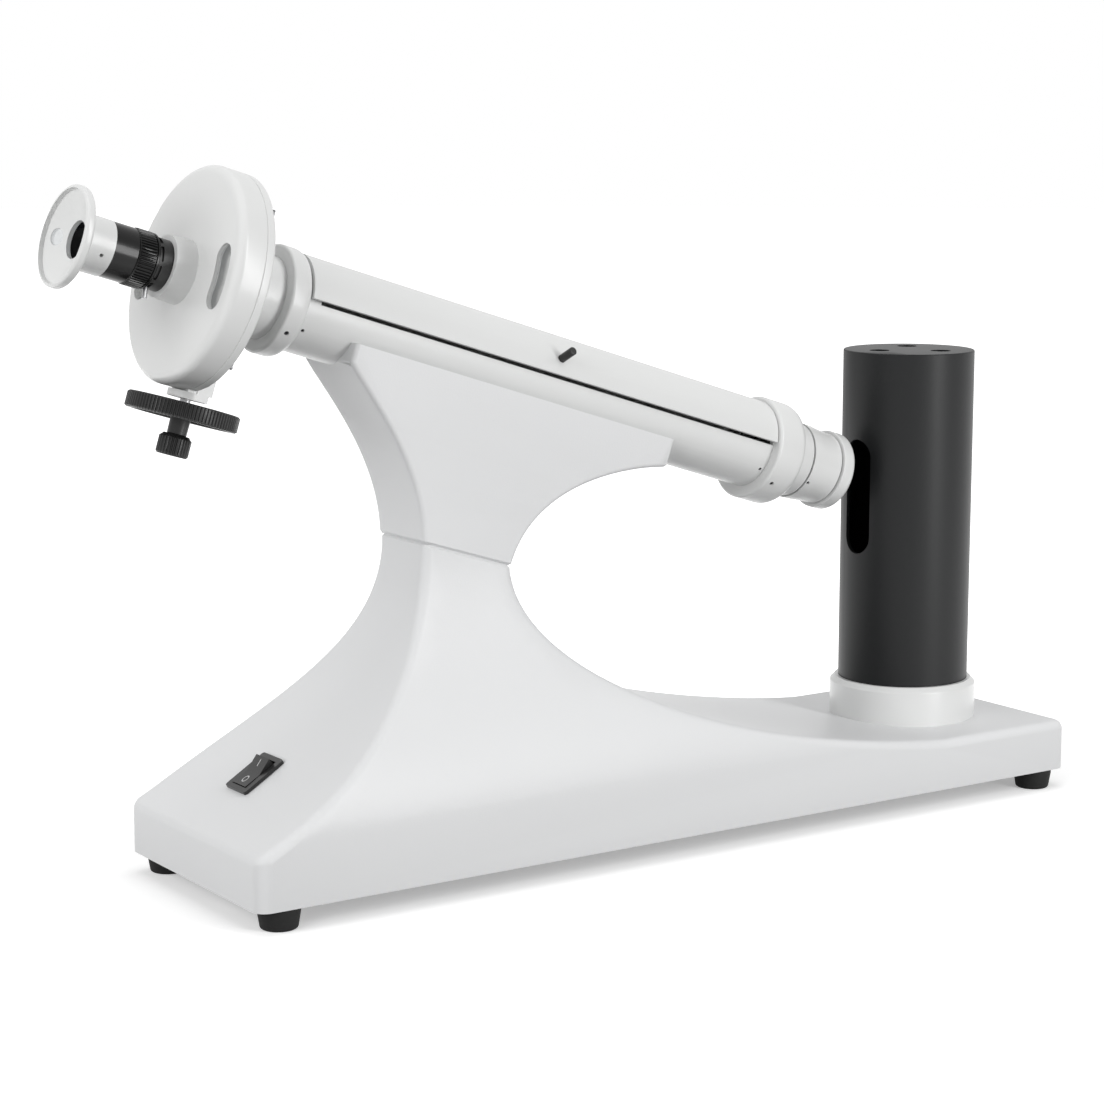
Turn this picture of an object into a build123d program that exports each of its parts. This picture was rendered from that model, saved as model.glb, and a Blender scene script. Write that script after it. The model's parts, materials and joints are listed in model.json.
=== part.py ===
from build123d import *
from math import cos, radians, sin, tan
import os

os.makedirs("parts", exist_ok=True)

# Disc polarimeter: a hollow cast base whose flared column carries a saddle, a tilted
# sample trough between two rings, the dial housing and eyepiece at the high end, the
# polariser barrel at the low end and a lamp that stands on the base beyond it.
# All sizes are in millimetres. +Z is up and +X points from the viewer to the lamp.
# The origin lies under the middle of the instrument, on the table.

# Driving sizes of the base
base_length = 500.0
base_width = 134.5
base_underside = 10.55
front_height = 35.0
lamp_end_height = 37.3
casting_wall = 5.0
corner_radius = 7.0
top_edge_radius = 5.0
front_slope = 27.0
front_slope_pull = 104.4
column_front_pull = 40.8
column_back_pull = 88.9
lamp_ramp_end = 414.8
lamp_ramp_pull = 14.4
flare_top = 160.0
flare_bottom = 40.0
flare_top_pull = 57.7
flare_bottom_pull = 36.3

# Driving sizes of the tube, whose stations run along it from the point over the column
tilt = 17.372
axis_from_front = 178.1
axis_height = 240.24
fit = 0.03
overrun = 1.0
running_fit = 0.06
play = 0.3

# Neck between column and saddle, parallel to the tube
neck_drop = 91.7
neck_front = -36.7
neck_back = 16.2
neck_half_width = 21.7
seam_chamfer = 1.2
neck_wall = 9.0

# Saddle
saddle_front = -101.0
saddle_back = 91.8
saddle_top = -9.6
saddle_half_width = 24.0
saddle_front_lip = -18.7
saddle_back_lip = -24.0
saddle_front_lean = -49.4
saddle_front_pull = 12.9
saddle_front_rise = 40.5
saddle_back_pull = 13.0
saddle_back_lean = 191.3
saddle_back_rise = 46.8
saddle_edge_radius = 2.5
saddle_wall = 6.0
saddle_floor = 28.0
saddle_boss_radius = 6.0
seat_land = 5.0
bolt_inset = 14.0
bolt_radius = 3.0
bolt_head_radius = 5.0
bolt_head = 4.0
bolt_reach = 16.0

# Sample trough and its lid
trough_radius = 21.2
trough_wall = 2.5
trough_front = -135.0
trough_back = 166.0
window_front_land = 7.0
window_back_land = 0.5
trough_edge = 2.6
trough_screw_inset = 35.0
trough_screw_radius = 1.5
trough_screw_head = 3.0
trough_screw_land = 0.8
trough_screw_sink = 0.3
trough_screw_length = 9.0
lid_inner_radius = 22.9
lid_wall = 2.0
lid_end_gap = 0.5
lid_front_angle = 10.5
hinge_angle = 8.0
hinge_circle = 23.9
hinge_rod_radius = 1.3
knuckle_radius = 2.35
hinge_socket_depth = 5.0
handle_station = 14.0
handle_angle = 30.0
handle_radius = 2.1
handle_length = 9.5
handle_spigot_radius = 1.5
handle_under = 0.3
handle_rounding = 0.6

# Rings at the ends of the trough
analyser_ring_reach = 6.0
analyser_ring_lap = 5.5
analyser_ring_radius = 26.1
analyser_ring_fillet = 1.6
analyser_ring_back_fillet = 4.4
polariser_ring_lap = 9.5
polariser_ring_reach = 10.5
polariser_ring_radius = 27.3
polariser_ring_fillet = 6.0
neck_screw_inset = 4.2
trough_end_screw_inset = 4.7
neck_screw_angle = -33.7
trough_end_screw_angle = -37.7
trough_grub_inset = 2.4
trough_grub_angle = -31.0
set_screw_radius = 1.2
grub_radius = 0.9
set_screw_sink = 0.5

# Dial housing
housing_room = 2.2
cover_depth = 14.0
cover_wall = 2.5
plate_thickness = 4.5
neck_tube_length = 31.5
housing_edge_radius = 4.5
dial_window_inset = 1.0
dial_window_width = 12.6
dial_window_half_angle = 13.5
pane_thickness = 0.8
neck_tube_radius = 19.8
neck_flange_radius = 24.0
neck_flange_thickness = 1.8
plate_rounding = 1.2
housing_seam_chamfer = 0.35
cover_screws = 4
cover_screw_turn = 47.0
cover_screw_radius = 0.9
cover_screw_head = 1.7
cover_screw_reach = 8.0

# Dial, its bearing and its drive
dial_radius = 39.0
dial_depth = 5.7
dial_thickness = 1.8
dial_hole_radius = 11.5
sleeve_radius = 14.9
sleeve_bore = 11.0
sleeve_flange_radius = 22.0
sleeve_flange_thickness = 2.0
sleeve_shoulder_radius = 17.0
sleeve_end_gap = 10.0
retainer_bore = 13.4
analyser_inset = 15.0
analyser_thickness = 3.0
retainer_length = 5.0
vernier_thickness = 1.3
vernier_gap = 0.4
vernier_width = 5.6
vernier_foot = 1.6
vernier_span = 34.0
gear_module = 1.0
crown_teeth = 76
pinion_teeth = 12
crown_face = 4.4
pinion_face = 3.4
gear_addendum = 0.85
gear_dedendum = 1.2
tooth_gap_half = 0.93
flank_lean = 20.0
pinion_tooth_half = 0.64
shaft_behind_dial = 12.3
shaft_radius = 2.5
bush_radius = 3.4
shaft_end = 6.5

# Pinion housing and handwheel
shelf_front_reach = 9.0
shelf_back_reach = 6.6
block_back_reach = 8.3
shelf_gap = 0.35
shelf_thickness = 3.25
housing_half_width = 9.0
pinion_housing_cap = 8.5
pinion_cavity_half = 8.4
handwheel_radius = 26.3
handwheel_gap = 2.1
handwheel_thickness = 7.7
handwheel_hub_length = 7.0
handwheel_hub_radius = 4.6
handwheel_flutes = 60
flute_radius = 0.8
handwheel_wall = 2.6
knob_radius = 7.6
knob_length = 9.9
knob_flutes = 24
knob_flute_radius = 0.7
knob_cap = 2.0

# Eyepiece
hub_length = 10.5
hub_radius_back = 15.2
hub_radius_front = 14.6
hub_spigot_radius = 13.0
barrel_length = 7.0
barrel_radius = 12.0
barrel_slots = 8
barrel_spigot_radius = 9.5
barrel_slot_margin = 0.3
barrel_slot_depth = 1.0
barrel_slot_width = 1.6
barrel_land_width = 2.1
guide_pin_inset = 1.2
guide_pin_angle = -78.0
guide_pin_radius = 1.1
guide_pin_length = 6.9
objective_thickness = 4.0
lens_bulge = 0.9
guide_radius = 9.0
guide_length = 11.5
guide_bore = 7.0
focus_length = 10.7
focus_radius = 13.2
focus_ribs = 30
focus_flute_radius = 0.6
focus_step_depth = 8.7
skirt_outer = 11.1
skirt_inner = 9.1
focus_room = 2.0
lens_seat = 8.9
lens_inset = 3.0
eye_lens_thickness = 4.0
collar_spigot_length = 11.0
gloss_length = 11.8
gloss_radius = 12.8
collar_radius = 13.0
collar_bore = 10.5
collar_length = 13.5
collar_hole_inset = 5.3
collar_hole_angle = -19.8
eyecup_radius = 23.6
eyecup_depth = 6.9
eyecup_rim = 1.7
eyecup_edge_thickness = 4.2
eyecup_lip = 2.2
eyecup_cone_depth = 6.8
eyecup_spigot_length = 2.0
eyehole_radius = 8.8
magnifier_radius = 3.9
magnifier_offset = 15.2
magnifier_sink = 0.2
magnifier_thickness = 0.7

# Polariser barrel
polariser_barrel_length = 9.7
polariser_barrel_radius = 19.7
polariser_mount_radius = 20.3
polariser_mount_waist = 19.2
mount_length = 20.4
cap_length = 8.9
cap_radius = 21.0
polariser_bore = 13.0
cap_hole_radius = 12.0
mount_seat = 17.0
cap_seat_depth = 4.4
lens_land = 2.5
groove = 0.7
mount_band = 5.5
mount_screw_inset = 2.1
mount_sag = 0.25
cap_rounding = 2.6
optic_inset = 4.0
optic_thickness = 2.0
half_shade_thickness = 1.2

# Lamp
lamp_from_front = 438.45
lamp_radius = 35.5
lamp_wall = 2.0
lamp_bottom = 58.5
lamp_top = 239.3
lamp_spigot = 6.0
lamp_seat_depth = 0.3
wire_hole_radius = 8.0
pedestal_radius = 39.95
pedestal_chamfer = 2.6
pedestal_rounding = 0.8
lamp_rounding = 0.8
socket_flange = 30.0
socket_plate = 4.0
socket_top = 78.0
bulb_cap_radius = 12.0
bulb_cap_depth = 20.0
vent_radius = 5.5
vent_circle = 19.0
vent_turn = 52.0
slot_bottom = 129.5
slot_top = 192.0
slot_width = 19.0
socket_radius = 15.0
bulb_radius = 15.0
bulb_top = 200.0

# Feet, cover, switch, inlet and board
foot_inset_x = 15.6
foot_inset_y = 10.35
foot_top_radius = 10.2
foot_bottom_radius = 8.8
foot_boss_radius = 9.0
foot_screw_radius = 2.0
foot_screw_head = 2.4
foot_collar = 2.0
foot_rounding = 1.5
foot_thread = 11.0
cover_thickness = 1.5
switch_along = 0.232
switch_length = 24.8
switch_width = 19.8
switch_flange = 1.6
switch_across = 4.0
switch_lift = 0.35
switch_body_depth = 13.0
switch_lap = 1.8
switch_corner = 1.5
rocker_length = 17.4
rocker_width = 12.6
rocker_tilt = 10.0
rocker_room = 1.4
rocker_depth = 6.0
rocker_pivot = -1.0
rocker_crown = 3.6
rocker_dip = 1.8
rocker_pin_radius = 1.0
inlet_height = 23.5
inlet_across = 30.0
inlet_radius = 4.4
inlet_length = 13.0
inlet_recess = 1.5
inlet_flange_radius = 6.5
inlet_hole_radius = 2.9
inlet_pin_radius = 1.0
board_length = 84.0
board_width = 56.0
board_thickness = 1.6
board_from_front = 300.0
stud_height = 5.0
stud_radius = 3.0
transformer_size = 24.0
transformer_height = 11.0
capacitor_radius = 6.0

# Stations along the tube. Each follows from its neighbour, from the trough out to both ends.
analyser_ring_front = trough_front - analyser_ring_reach
analyser_ring_back = trough_front + analyser_ring_lap
polariser_ring_front = trough_back - polariser_ring_lap
polariser_ring_back = trough_back + polariser_ring_reach
window_front = analyser_ring_back + window_front_land
window_back = polariser_ring_front - window_back_land
lid_front = analyser_ring_back + lid_end_gap
lid_back = polariser_ring_front - lid_end_gap
barrel_step = polariser_ring_back + polariser_barrel_length
mount_back = barrel_step + mount_length
cap_back = mount_back + cap_length
cap_shoulder = mount_back + cap_seat_depth
plate_back = trough_front - neck_tube_length
plate_front = plate_back - plate_thickness
cover_front = plate_front - cover_depth
dial_front = cover_front + dial_depth
shaft_station = dial_front + shaft_behind_dial
sleeve_back = trough_front - sleeve_end_gap
bearing_back = sleeve_back - retainer_length
analyser_station = sleeve_back - analyser_inset
hub_front = cover_front - hub_length
barrel_front = hub_front - barrel_length
guide_front = barrel_front - guide_length
guide_pin_station = barrel_front + guide_pin_inset
focus_front = barrel_front - focus_length
focus_step = focus_front + focus_step_depth
gloss_front = focus_front - gloss_length
collar_spigot_front = gloss_front - collar_spigot_length
eyecup_back = gloss_front - collar_length
eyecup_spigot_back = eyecup_back + eyecup_spigot_length
eyecup_front = eyecup_back - eyecup_depth
eyecup_edge = eyecup_front + eyecup_edge_thickness
cone_front = eyecup_front + eyecup_lip
cone_back = eyecup_front + eyecup_cone_depth

# Radii that grow out from the dial, and heights that go down from the housing to the knob
vernier_inner = dial_radius + vernier_gap
vernier_outer = vernier_inner + vernier_width
cover_bore = vernier_outer + vernier_foot + housing_room
housing_radius = cover_bore + cover_wall
dial_window_circle = dial_radius - dial_window_inset
shelf_top = -housing_radius - shelf_gap
shelf_bottom = shelf_top - shelf_thickness
handwheel_top = shelf_bottom - handwheel_gap
handwheel_bottom = handwheel_top - handwheel_thickness
handwheel_hub_bottom = handwheel_bottom - handwheel_hub_length
knob_bottom = handwheel_hub_bottom - knob_length
crown_radius = gear_module * crown_teeth / 2
pinion_housing_top = pinion_housing_cap - crown_radius
shaft_top = shaft_end - crown_radius
shelf_front = shaft_station - shelf_front_reach
shelf_back = shaft_station + shelf_back_reach
block_back = shaft_station + block_back_reach

# Frame of the tube
along = (cos(radians(tilt)), 0.0, -sin(radians(tilt)))
outward = (sin(radians(tilt)), 0.0, cos(radians(tilt)))
reach_front = axis_from_front + eyecup_front * along[0] - eyecup_radius * outward[0]
front_x = -(base_length + reach_front) / 2
back_x = front_x + base_length
tube_origin = (front_x + axis_from_front, 0.0, axis_height)
side = Plane(origin=tube_origin, x_dir=along, z_dir=(0, -1, 0))
tube_axis = Axis(tube_origin, along)


def tube_point(station, height, across=0.0):
    return tuple(
        tube_origin[i] + station * along[i] + height * outward[i] + (0.0, across, 0.0)[i] for i in range(3)
    )


def cross_plane(station):
    return Plane(origin=tube_point(station, 0.0), x_dir=(0, 1, 0), z_dir=along)


def level_plane(station, height):
    return Plane(origin=tube_point(station, height), x_dir=along, z_dir=outward)


# A plane that faces away from the tube's axis, at an angle above the near side
def radial_plane(station, angle, radius):
    rise = sin(radians(angle))
    facing = (outward[0] * rise, -cos(radians(angle)), outward[2] * rise)
    centre = tube_point(station, radius * rise, -radius * cos(radians(angle)))
    return Plane(origin=centre, x_dir=along, z_dir=facing)


# Revolve a closed outline of (station, radius) points about the tube's axis
def turn(*outline, mode=Mode.ADD):
    with BuildSketch(side) as profile:
        with BuildLine():
            Polyline(*outline, close=True)
        make_face()
    revolve(profile.sketch, axis=tube_axis, mode=mode)


# A plain tube between two stations
def turn_tube(front, back, outer, inner, mode=Mode.ADD):
    turn((front, inner), (front, outer), (back, outer), (back, inner), mode=mode)


# Revolve a closed outline of (radius, height) points about an upright axis
def turn_upright(centre, *outline, mode=Mode.ADD):
    with BuildSketch(Plane(origin=centre, x_dir=(1, 0, 0), z_dir=(0, -1, 0))) as profile:
        with BuildLine():
            Polyline(*outline, close=True)
        make_face()
    revolve(profile.sketch, axis=Axis(centre, (0, 0, 1)), mode=mode)


# Revolve a closed outline of (radius, height) points about an axis square to the tube
def turn_across(station, *outline, mode=Mode.ADD):
    with BuildSketch(Plane(origin=tube_point(station, 0.0), x_dir=along, z_dir=(0, -1, 0))) as profile:
        with BuildLine():
            Polyline(*outline, close=True)
        make_face()
    revolve(profile.sketch, axis=Axis(tube_point(station, 0.0), outward), mode=mode)


# A biconvex lens or, with no bulge, a flat disc
def turn_lens(front, back, radius, bulge):
    with BuildSketch(side) as profile:
        with BuildLine():
            Line((back, 0), (front, 0))
            TangentArc((front, 0), (front + bulge, radius), tangent=(0, 1))
            Line((front + bulge, radius), (back - bulge, radius))
            TangentArc((back, 0), (back - bulge, radius), tangent=(0, 1))
        make_face()
    revolve(profile.sketch, axis=tube_axis)


def turn_disc(front, back, radius, mode=Mode.ADD):
    turn((front, 0), (front, radius), (back, radius), (back, 0), mode=mode)


def save(part, name):
    part.label = name
    export_step(part, "parts/" + name + ".step")


# A point at a distance and an angle from another, for the pulls of a curve
def pulled(point, angle, distance):
    return (point[0] + distance * cos(radians(angle)), point[1] + distance * sin(radians(angle)))


# Outline of the base seen from the side. An inset draws the cavity inside the wall.
half_width = base_width / 2
neck_front_xz = (tube_point(neck_front, -neck_drop)[0], tube_point(neck_front, -neck_drop)[2])
neck_back_xz = (tube_point(neck_back, -neck_drop)[0], tube_point(neck_back, -neck_drop)[2])


def front_curve(inset):
    start = (front_x + inset, front_height + inset * tan(radians(front_slope)) - inset / cos(radians(front_slope)))
    end = (neck_front_xz[0] + inset, neck_front_xz[1] - inset * tan(radians(tilt)))
    return Bezier(
        start, pulled(start, front_slope, front_slope_pull), pulled(end, -90, column_front_pull), end
    )


def draw_base_side(inset):
    back = back_x - inset
    top = lamp_end_height - inset
    neck = (neck_back_xz[0] - inset, neck_back_xz[1] + inset * tan(radians(tilt)))
    ramp_end = (front_x + lamp_ramp_end, top)
    with BuildLine() as outline:
        slope = front_curve(inset)
        Line((front_x + inset, base_underside), slope @ 0)
        Line(slope @ 1, neck)
        Bezier(
            neck, pulled(neck, -90, column_back_pull), pulled(ramp_end, 180, lamp_ramp_pull), ramp_end
        )
        Line(ramp_end, (back, top))
        Line((back, top), (back, base_underside))
        Line((back, base_underside), (front_x + inset, base_underside))
    make_face(outline.edges())


# Outline of the base seen from the front, from the wide foot to the slim column
def draw_base_flare(inset):
    top = neck_front_xz[1] + casting_wall
    foot = half_width - inset
    neck = neck_half_width - inset
    with BuildLine() as outline:
        Line((0, base_underside), (foot, base_underside))
        Line((foot, base_underside), (foot, flare_bottom))
        Bezier(
            (foot, flare_bottom),
            (foot, flare_bottom + flare_bottom_pull),
            (neck, flare_top - flare_top_pull),
            (neck, flare_top),
        )
        Line((neck, flare_top), (neck, top))
        Line((neck, top), (0, top))
        Line((0, top), (0, base_underside))
    make_face(outline.edges())
    mirror(about=Plane.YZ)


foot_centres = [
    (x, y)
    for x in (front_x + foot_inset_x, back_x - foot_inset_x)
    for y in (foot_inset_y - half_width, half_width - foot_inset_y)
]
far_side = Plane(origin=(0, base_width, 0), x_dir=(1, 0, 0), z_dir=(0, -1, 0))
front_plane = Plane(origin=(front_x - overrun, 0, 0), x_dir=(0, 1, 0), z_dir=(1, 0, 0))
lamp_x = front_x + lamp_from_front

# Place of the switch on the front slope
with BuildLine(Plane.XZ) as slope_line:
    front_curve(0.0)
switch_seat = slope_line.line @ switch_along
switch_run = slope_line.line % switch_along
switch_normal = Vector(-switch_run.Z, 0, switch_run.X)
switch_origin = switch_seat + switch_normal * switch_lift + Vector(0, switch_across, 0)
switch_plane = Plane(origin=switch_origin, x_dir=switch_run, z_dir=switch_normal)

# Neck bolts run square to the seam, from inside the column into the saddle
bolt_stations = [neck_front + bolt_inset, neck_back - bolt_inset]

# Lamp seat, sunk a little so that the pedestal stands flat on the end of the ramp
lamp_seat = lamp_end_height - lamp_seat_depth
inlet_plane = Plane(origin=(back_x, inlet_across, inlet_height), x_dir=(0, 1, 0), z_dir=(1, 0, 0))
switch_side = Plane(origin=switch_origin, x_dir=switch_run, z_dir=(0, -1, 0))
rocker_axis = Axis(switch_origin + switch_normal * rocker_pivot, (0, -1, 0))

# Hollow of the base, less the bosses for the feet
cavity_top = -neck_drop - neck_wall
with BuildPart() as base_cavity:
    with BuildSketch(far_side):
        draw_base_side(casting_wall)
    extrude(amount=2 * base_width)
    with BuildSketch(front_plane):
        draw_base_flare(casting_wall)
    extrude(amount=base_length + 2 * overrun, mode=Mode.INTERSECT)
    with BuildSketch(level_plane((neck_front + neck_back) / 2, cavity_top)):
        Rectangle(neck_back - neck_front + 2 * neck_wall, base_width)
    extrude(amount=neck_drop, mode=Mode.SUBTRACT)
    with BuildSketch(Plane.XY.offset(base_underside + cover_thickness)):
        with Locations(*foot_centres):
            Circle(foot_boss_radius)
    extrude(amount=base_length, mode=Mode.SUBTRACT)

with BuildPart() as base_casting:
    with BuildSketch(far_side):
        draw_base_side(0.0)
    extrude(amount=2 * base_width)
    with BuildSketch(front_plane):
        draw_base_flare(0.0)
    extrude(amount=base_length + 2 * overrun, mode=Mode.INTERSECT)
    fillet(base_casting.edges().filter_by(Axis.Z).filter_by_position(Axis.Z, 0, lamp_end_height), corner_radius)
    rim = base_casting.faces().sort_by(Axis.Z)[0].edges()
    seam = base_casting.faces().filter_by(level_plane(0.0, 0.0)).sort_by(Axis.Z)[-1].edges()
    upright = base_casting.edges().filter_by(Axis.Z)
    fillet(base_casting.edges() - rim - seam - upright, top_edge_radius)
    chamfer(base_casting.faces().filter_by(level_plane(0.0, 0.0)).sort_by(Axis.Z)[-1].edges(), seam_chamfer)
    add(base_cavity.part, mode=Mode.SUBTRACT)
    with BuildSketch(Plane((lamp_x, 0, lamp_seat))):
        Circle(pedestal_radius + fit)
    extrude(amount=lamp_end_height, mode=Mode.SUBTRACT)
    with BuildSketch(Plane((lamp_x, 0, lamp_seat))):
        Circle(wire_hole_radius)
    extrude(amount=-2 * casting_wall, mode=Mode.SUBTRACT)
    with Locations(*[(x, y, base_underside + cover_thickness + foot_thread / 2) for x, y in foot_centres]):
        Cylinder(foot_screw_radius + fit, foot_thread, mode=Mode.SUBTRACT)
    for station in bolt_stations:
        with BuildSketch(level_plane(station, -neck_drop)):
            Circle(bolt_radius + fit)
        extrude(amount=-neck_wall, mode=Mode.SUBTRACT)
    with BuildSketch(switch_plane):
        Rectangle(switch_length - 2 * switch_lap, switch_width - 2 * switch_lap)
    extrude(amount=-3 * casting_wall, mode=Mode.SUBTRACT)
    with BuildSketch(inlet_plane):
        Circle(inlet_flange_radius + fit)
    extrude(amount=-inlet_recess, mode=Mode.SUBTRACT)
    with BuildSketch(inlet_plane):
        Circle(inlet_radius + fit)
    extrude(amount=-2 * casting_wall, mode=Mode.SUBTRACT)
save(base_casting.part, "base_casting")

# Underside plate with its pressed studs for the board
middle_x = (front_x + back_x) / 2
cover_top = base_underside + cover_thickness
board_x = front_x + board_from_front
stud_grid = GridLocations(board_length - 4 * stud_radius, board_width - 4 * stud_radius, 2, 2)
stud_centres = [(board_x + place.position.X, place.position.Y) for place in stud_grid]
with BuildPart() as bottom_cover:
    with BuildSketch(Plane.XY.offset(base_underside)):
        with Locations((middle_x, 0)):
            Rectangle(base_length - 2 * (casting_wall + play), base_width - 2 * (casting_wall + play))
    extrude(amount=cover_thickness)
    with BuildSketch(Plane.XY.offset(cover_top)):
        with Locations(*stud_centres):
            Circle(stud_radius)
    extrude(amount=stud_height)
    with BuildSketch(Plane.XY.offset(base_underside)):
        with Locations(*foot_centres):
            Circle(foot_screw_radius + fit)
    extrude(amount=cover_thickness, mode=Mode.SUBTRACT)
save(bottom_cover.part, "bottom_cover")

# Four tapered rubber feet, each with a sunk screw head
foot_names = ["foot_front_near", "foot_front_far", "foot_rear_near", "foot_rear_far"]
foot_well = base_underside / 2
for name, (x, y) in zip(foot_names, foot_centres):
    with BuildPart() as foot:
        turn_upright(
            (x, y, 0.0),
            (foot_screw_radius + fit, base_underside),
            (foot_top_radius, base_underside),
            (foot_top_radius, base_underside - foot_collar),
            (foot_bottom_radius, 0.0),
            (2 * foot_screw_radius + fit, 0.0),
            (2 * foot_screw_radius + fit, foot_well),
            (foot_screw_radius + fit, foot_well),
        )
        fillet(foot.edges().group_by(Axis.Z)[0].sort_by(SortBy.RADIUS)[-1], foot_rounding)
    save(foot.part, name)

with BuildPart() as foot_screws:
    for x, y in foot_centres:
        turn_upright(
            (x, y, 0.0),
            (0.0, foot_well - foot_screw_head),
            (2 * foot_screw_radius, foot_well - foot_screw_head),
            (2 * foot_screw_radius, foot_well),
            (foot_screw_radius, foot_well),
            (foot_screw_radius, cover_top + foot_thread - play),
            (0.0, cover_top + foot_thread - play),
        )
save(foot_screws.part, "foot_screws")

# Driver board for the lamp, with its transformer and smoothing capacitor
board_seat = cover_top + stud_height
with BuildPart() as power_board:
    with BuildSketch(Plane.XY.offset(board_seat)):
        with Locations((board_x, 0)):
            Rectangle(board_length, board_width)
    extrude(amount=board_thickness)
    with BuildSketch(Plane.XY.offset(board_seat + board_thickness)):
        with Locations((board_x - board_length / 5, 0)):
            Rectangle(transformer_size, transformer_size)
    extrude(amount=transformer_height)
    with BuildSketch(Plane.XY.offset(board_seat + board_thickness)):
        with Locations((board_x + board_length / 4, board_width / 5)):
            Circle(capacitor_radius)
    extrude(amount=transformer_height)
save(power_board.part, "power_board")

# Panel inlet at the lamp end, sunk flush, with its centre pin
with BuildPart() as inlet_socket:
    with BuildSketch(inlet_plane.offset(-inlet_recess)):
        Circle(inlet_flange_radius)
        Circle(inlet_hole_radius, mode=Mode.SUBTRACT)
    extrude(amount=inlet_recess)
    with BuildSketch(inlet_plane.offset(-inlet_recess)):
        Circle(inlet_radius)
        Circle(inlet_hole_radius, mode=Mode.SUBTRACT)
    extrude(amount=-inlet_length)
    with BuildSketch(inlet_plane.offset(-inlet_recess - inlet_length)):
        Circle(inlet_radius)
    extrude(amount=-inlet_recess)
    with BuildSketch(inlet_plane.offset(-inlet_recess - inlet_length)):
        Circle(inlet_pin_radius)
    extrude(amount=inlet_length)
save(inlet_socket.part, "inlet_socket")

# Switch on the front slope: a framed body and a rocker that tips about a pin
with BuildPart() as switch_body:
    with BuildSketch(switch_plane):
        RectangleRounded(switch_length, switch_width, switch_corner)
    extrude(amount=switch_flange)
    with BuildSketch(switch_plane):
        Rectangle(switch_length - 2 * (switch_lap + play), switch_width - 2 * (switch_lap + play))
    extrude(amount=-switch_body_depth)
    with BuildSketch(switch_plane.offset(switch_flange)):
        Rectangle(rocker_length + 2 * play + rocker_room, rocker_width + 2 * play)
    extrude(amount=-switch_flange - rocker_depth - rocker_room, mode=Mode.SUBTRACT)
    with BuildSketch(switch_side.offset(-rocker_width / 2 - play)):
        with Locations((0, rocker_pivot)):
            Circle(rocker_pin_radius)
    extrude(amount=rocker_width + 2 * play)
save(switch_body.part, "switch_body")

with BuildPart() as switch_rocker:
    with BuildSketch(switch_side.offset(-rocker_width / 2)):
        with BuildLine():
            Polyline(
                (-rocker_length / 2, rocker_pivot),
                (-rocker_length / 2, rocker_crown),
                (0, rocker_dip),
                (rocker_length / 2, rocker_crown),
                (rocker_length / 2, rocker_pivot),
                (rocker_length / 4, -rocker_depth),
                (-rocker_length / 4, -rocker_depth),
                close=True,
            )
        make_face()
        with Locations((0, rocker_pivot)):
            Circle(rocker_pin_radius + play / 2, mode=Mode.SUBTRACT)
    extrude(amount=rocker_width)
switch_rocker.part = switch_rocker.part.rotate(rocker_axis, rocker_tilt)
save(switch_rocker.part, "switch_rocker")

trough_bore = trough_radius - trough_wall

# Saddle: a side profile cut to a tapered front section, with a round seat for the trough
saddle_tip = (saddle_front, saddle_front_lip)
saddle_heel = (saddle_back, saddle_back_lip)
seam_front = (neck_front, -neck_drop)
seam_back = (neck_back, -neck_drop)


def draw_saddle_side(inset):
    tip = (saddle_tip[0] + inset, saddle_tip[1])
    heel = (saddle_heel[0] - inset, saddle_heel[1])
    front = (seam_front[0] + inset, seam_front[1])
    back = (seam_back[0] - inset, seam_back[1])
    with BuildLine() as outline:
        Line((tip[0], saddle_top), (heel[0], saddle_top))
        Line((heel[0], saddle_top), heel)
        Bezier(
            heel, pulled(heel, saddle_back_lean, saddle_back_pull), pulled(back, 90, saddle_back_rise), back
        )
        Line(back, front)
        Bezier(
            front, pulled(front, 90 + tilt, saddle_front_rise), pulled(tip, saddle_front_lean, saddle_front_pull), tip
        )
        Line(tip, (tip[0], saddle_top))
    make_face(outline.edges())


def draw_saddle_section(inset):
    with BuildLine() as outline:
        Polyline(
            (neck_half_width - inset, -neck_drop),
            (saddle_half_width - inset, saddle_top),
            (inset - saddle_half_width, saddle_top),
            (inset - neck_half_width, -neck_drop),
            close=True,
        )
    make_face(outline.edges())


saddle_far_side = side.offset(-base_width)
trough_screw_stations = [saddle_front + trough_screw_inset, saddle_back - trough_screw_inset]
with BuildPart() as saddle_pocket:
    with BuildSketch(saddle_far_side):
        draw_saddle_side(saddle_wall)
    extrude(amount=2 * base_width)
    with BuildSketch(cross_plane(saddle_front)):
        draw_saddle_section(saddle_wall + seat_land)
    extrude(amount=saddle_back - saddle_front, mode=Mode.INTERSECT)
    split(bisect_by=level_plane(0.0, -neck_drop + saddle_floor), keep=Keep.TOP)
    with BuildSketch(level_plane(0.0, -neck_drop)):
        with Locations(*[(station, 0) for station in trough_screw_stations]):
            Circle(saddle_boss_radius)
    extrude(amount=neck_drop, mode=Mode.SUBTRACT)

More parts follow.
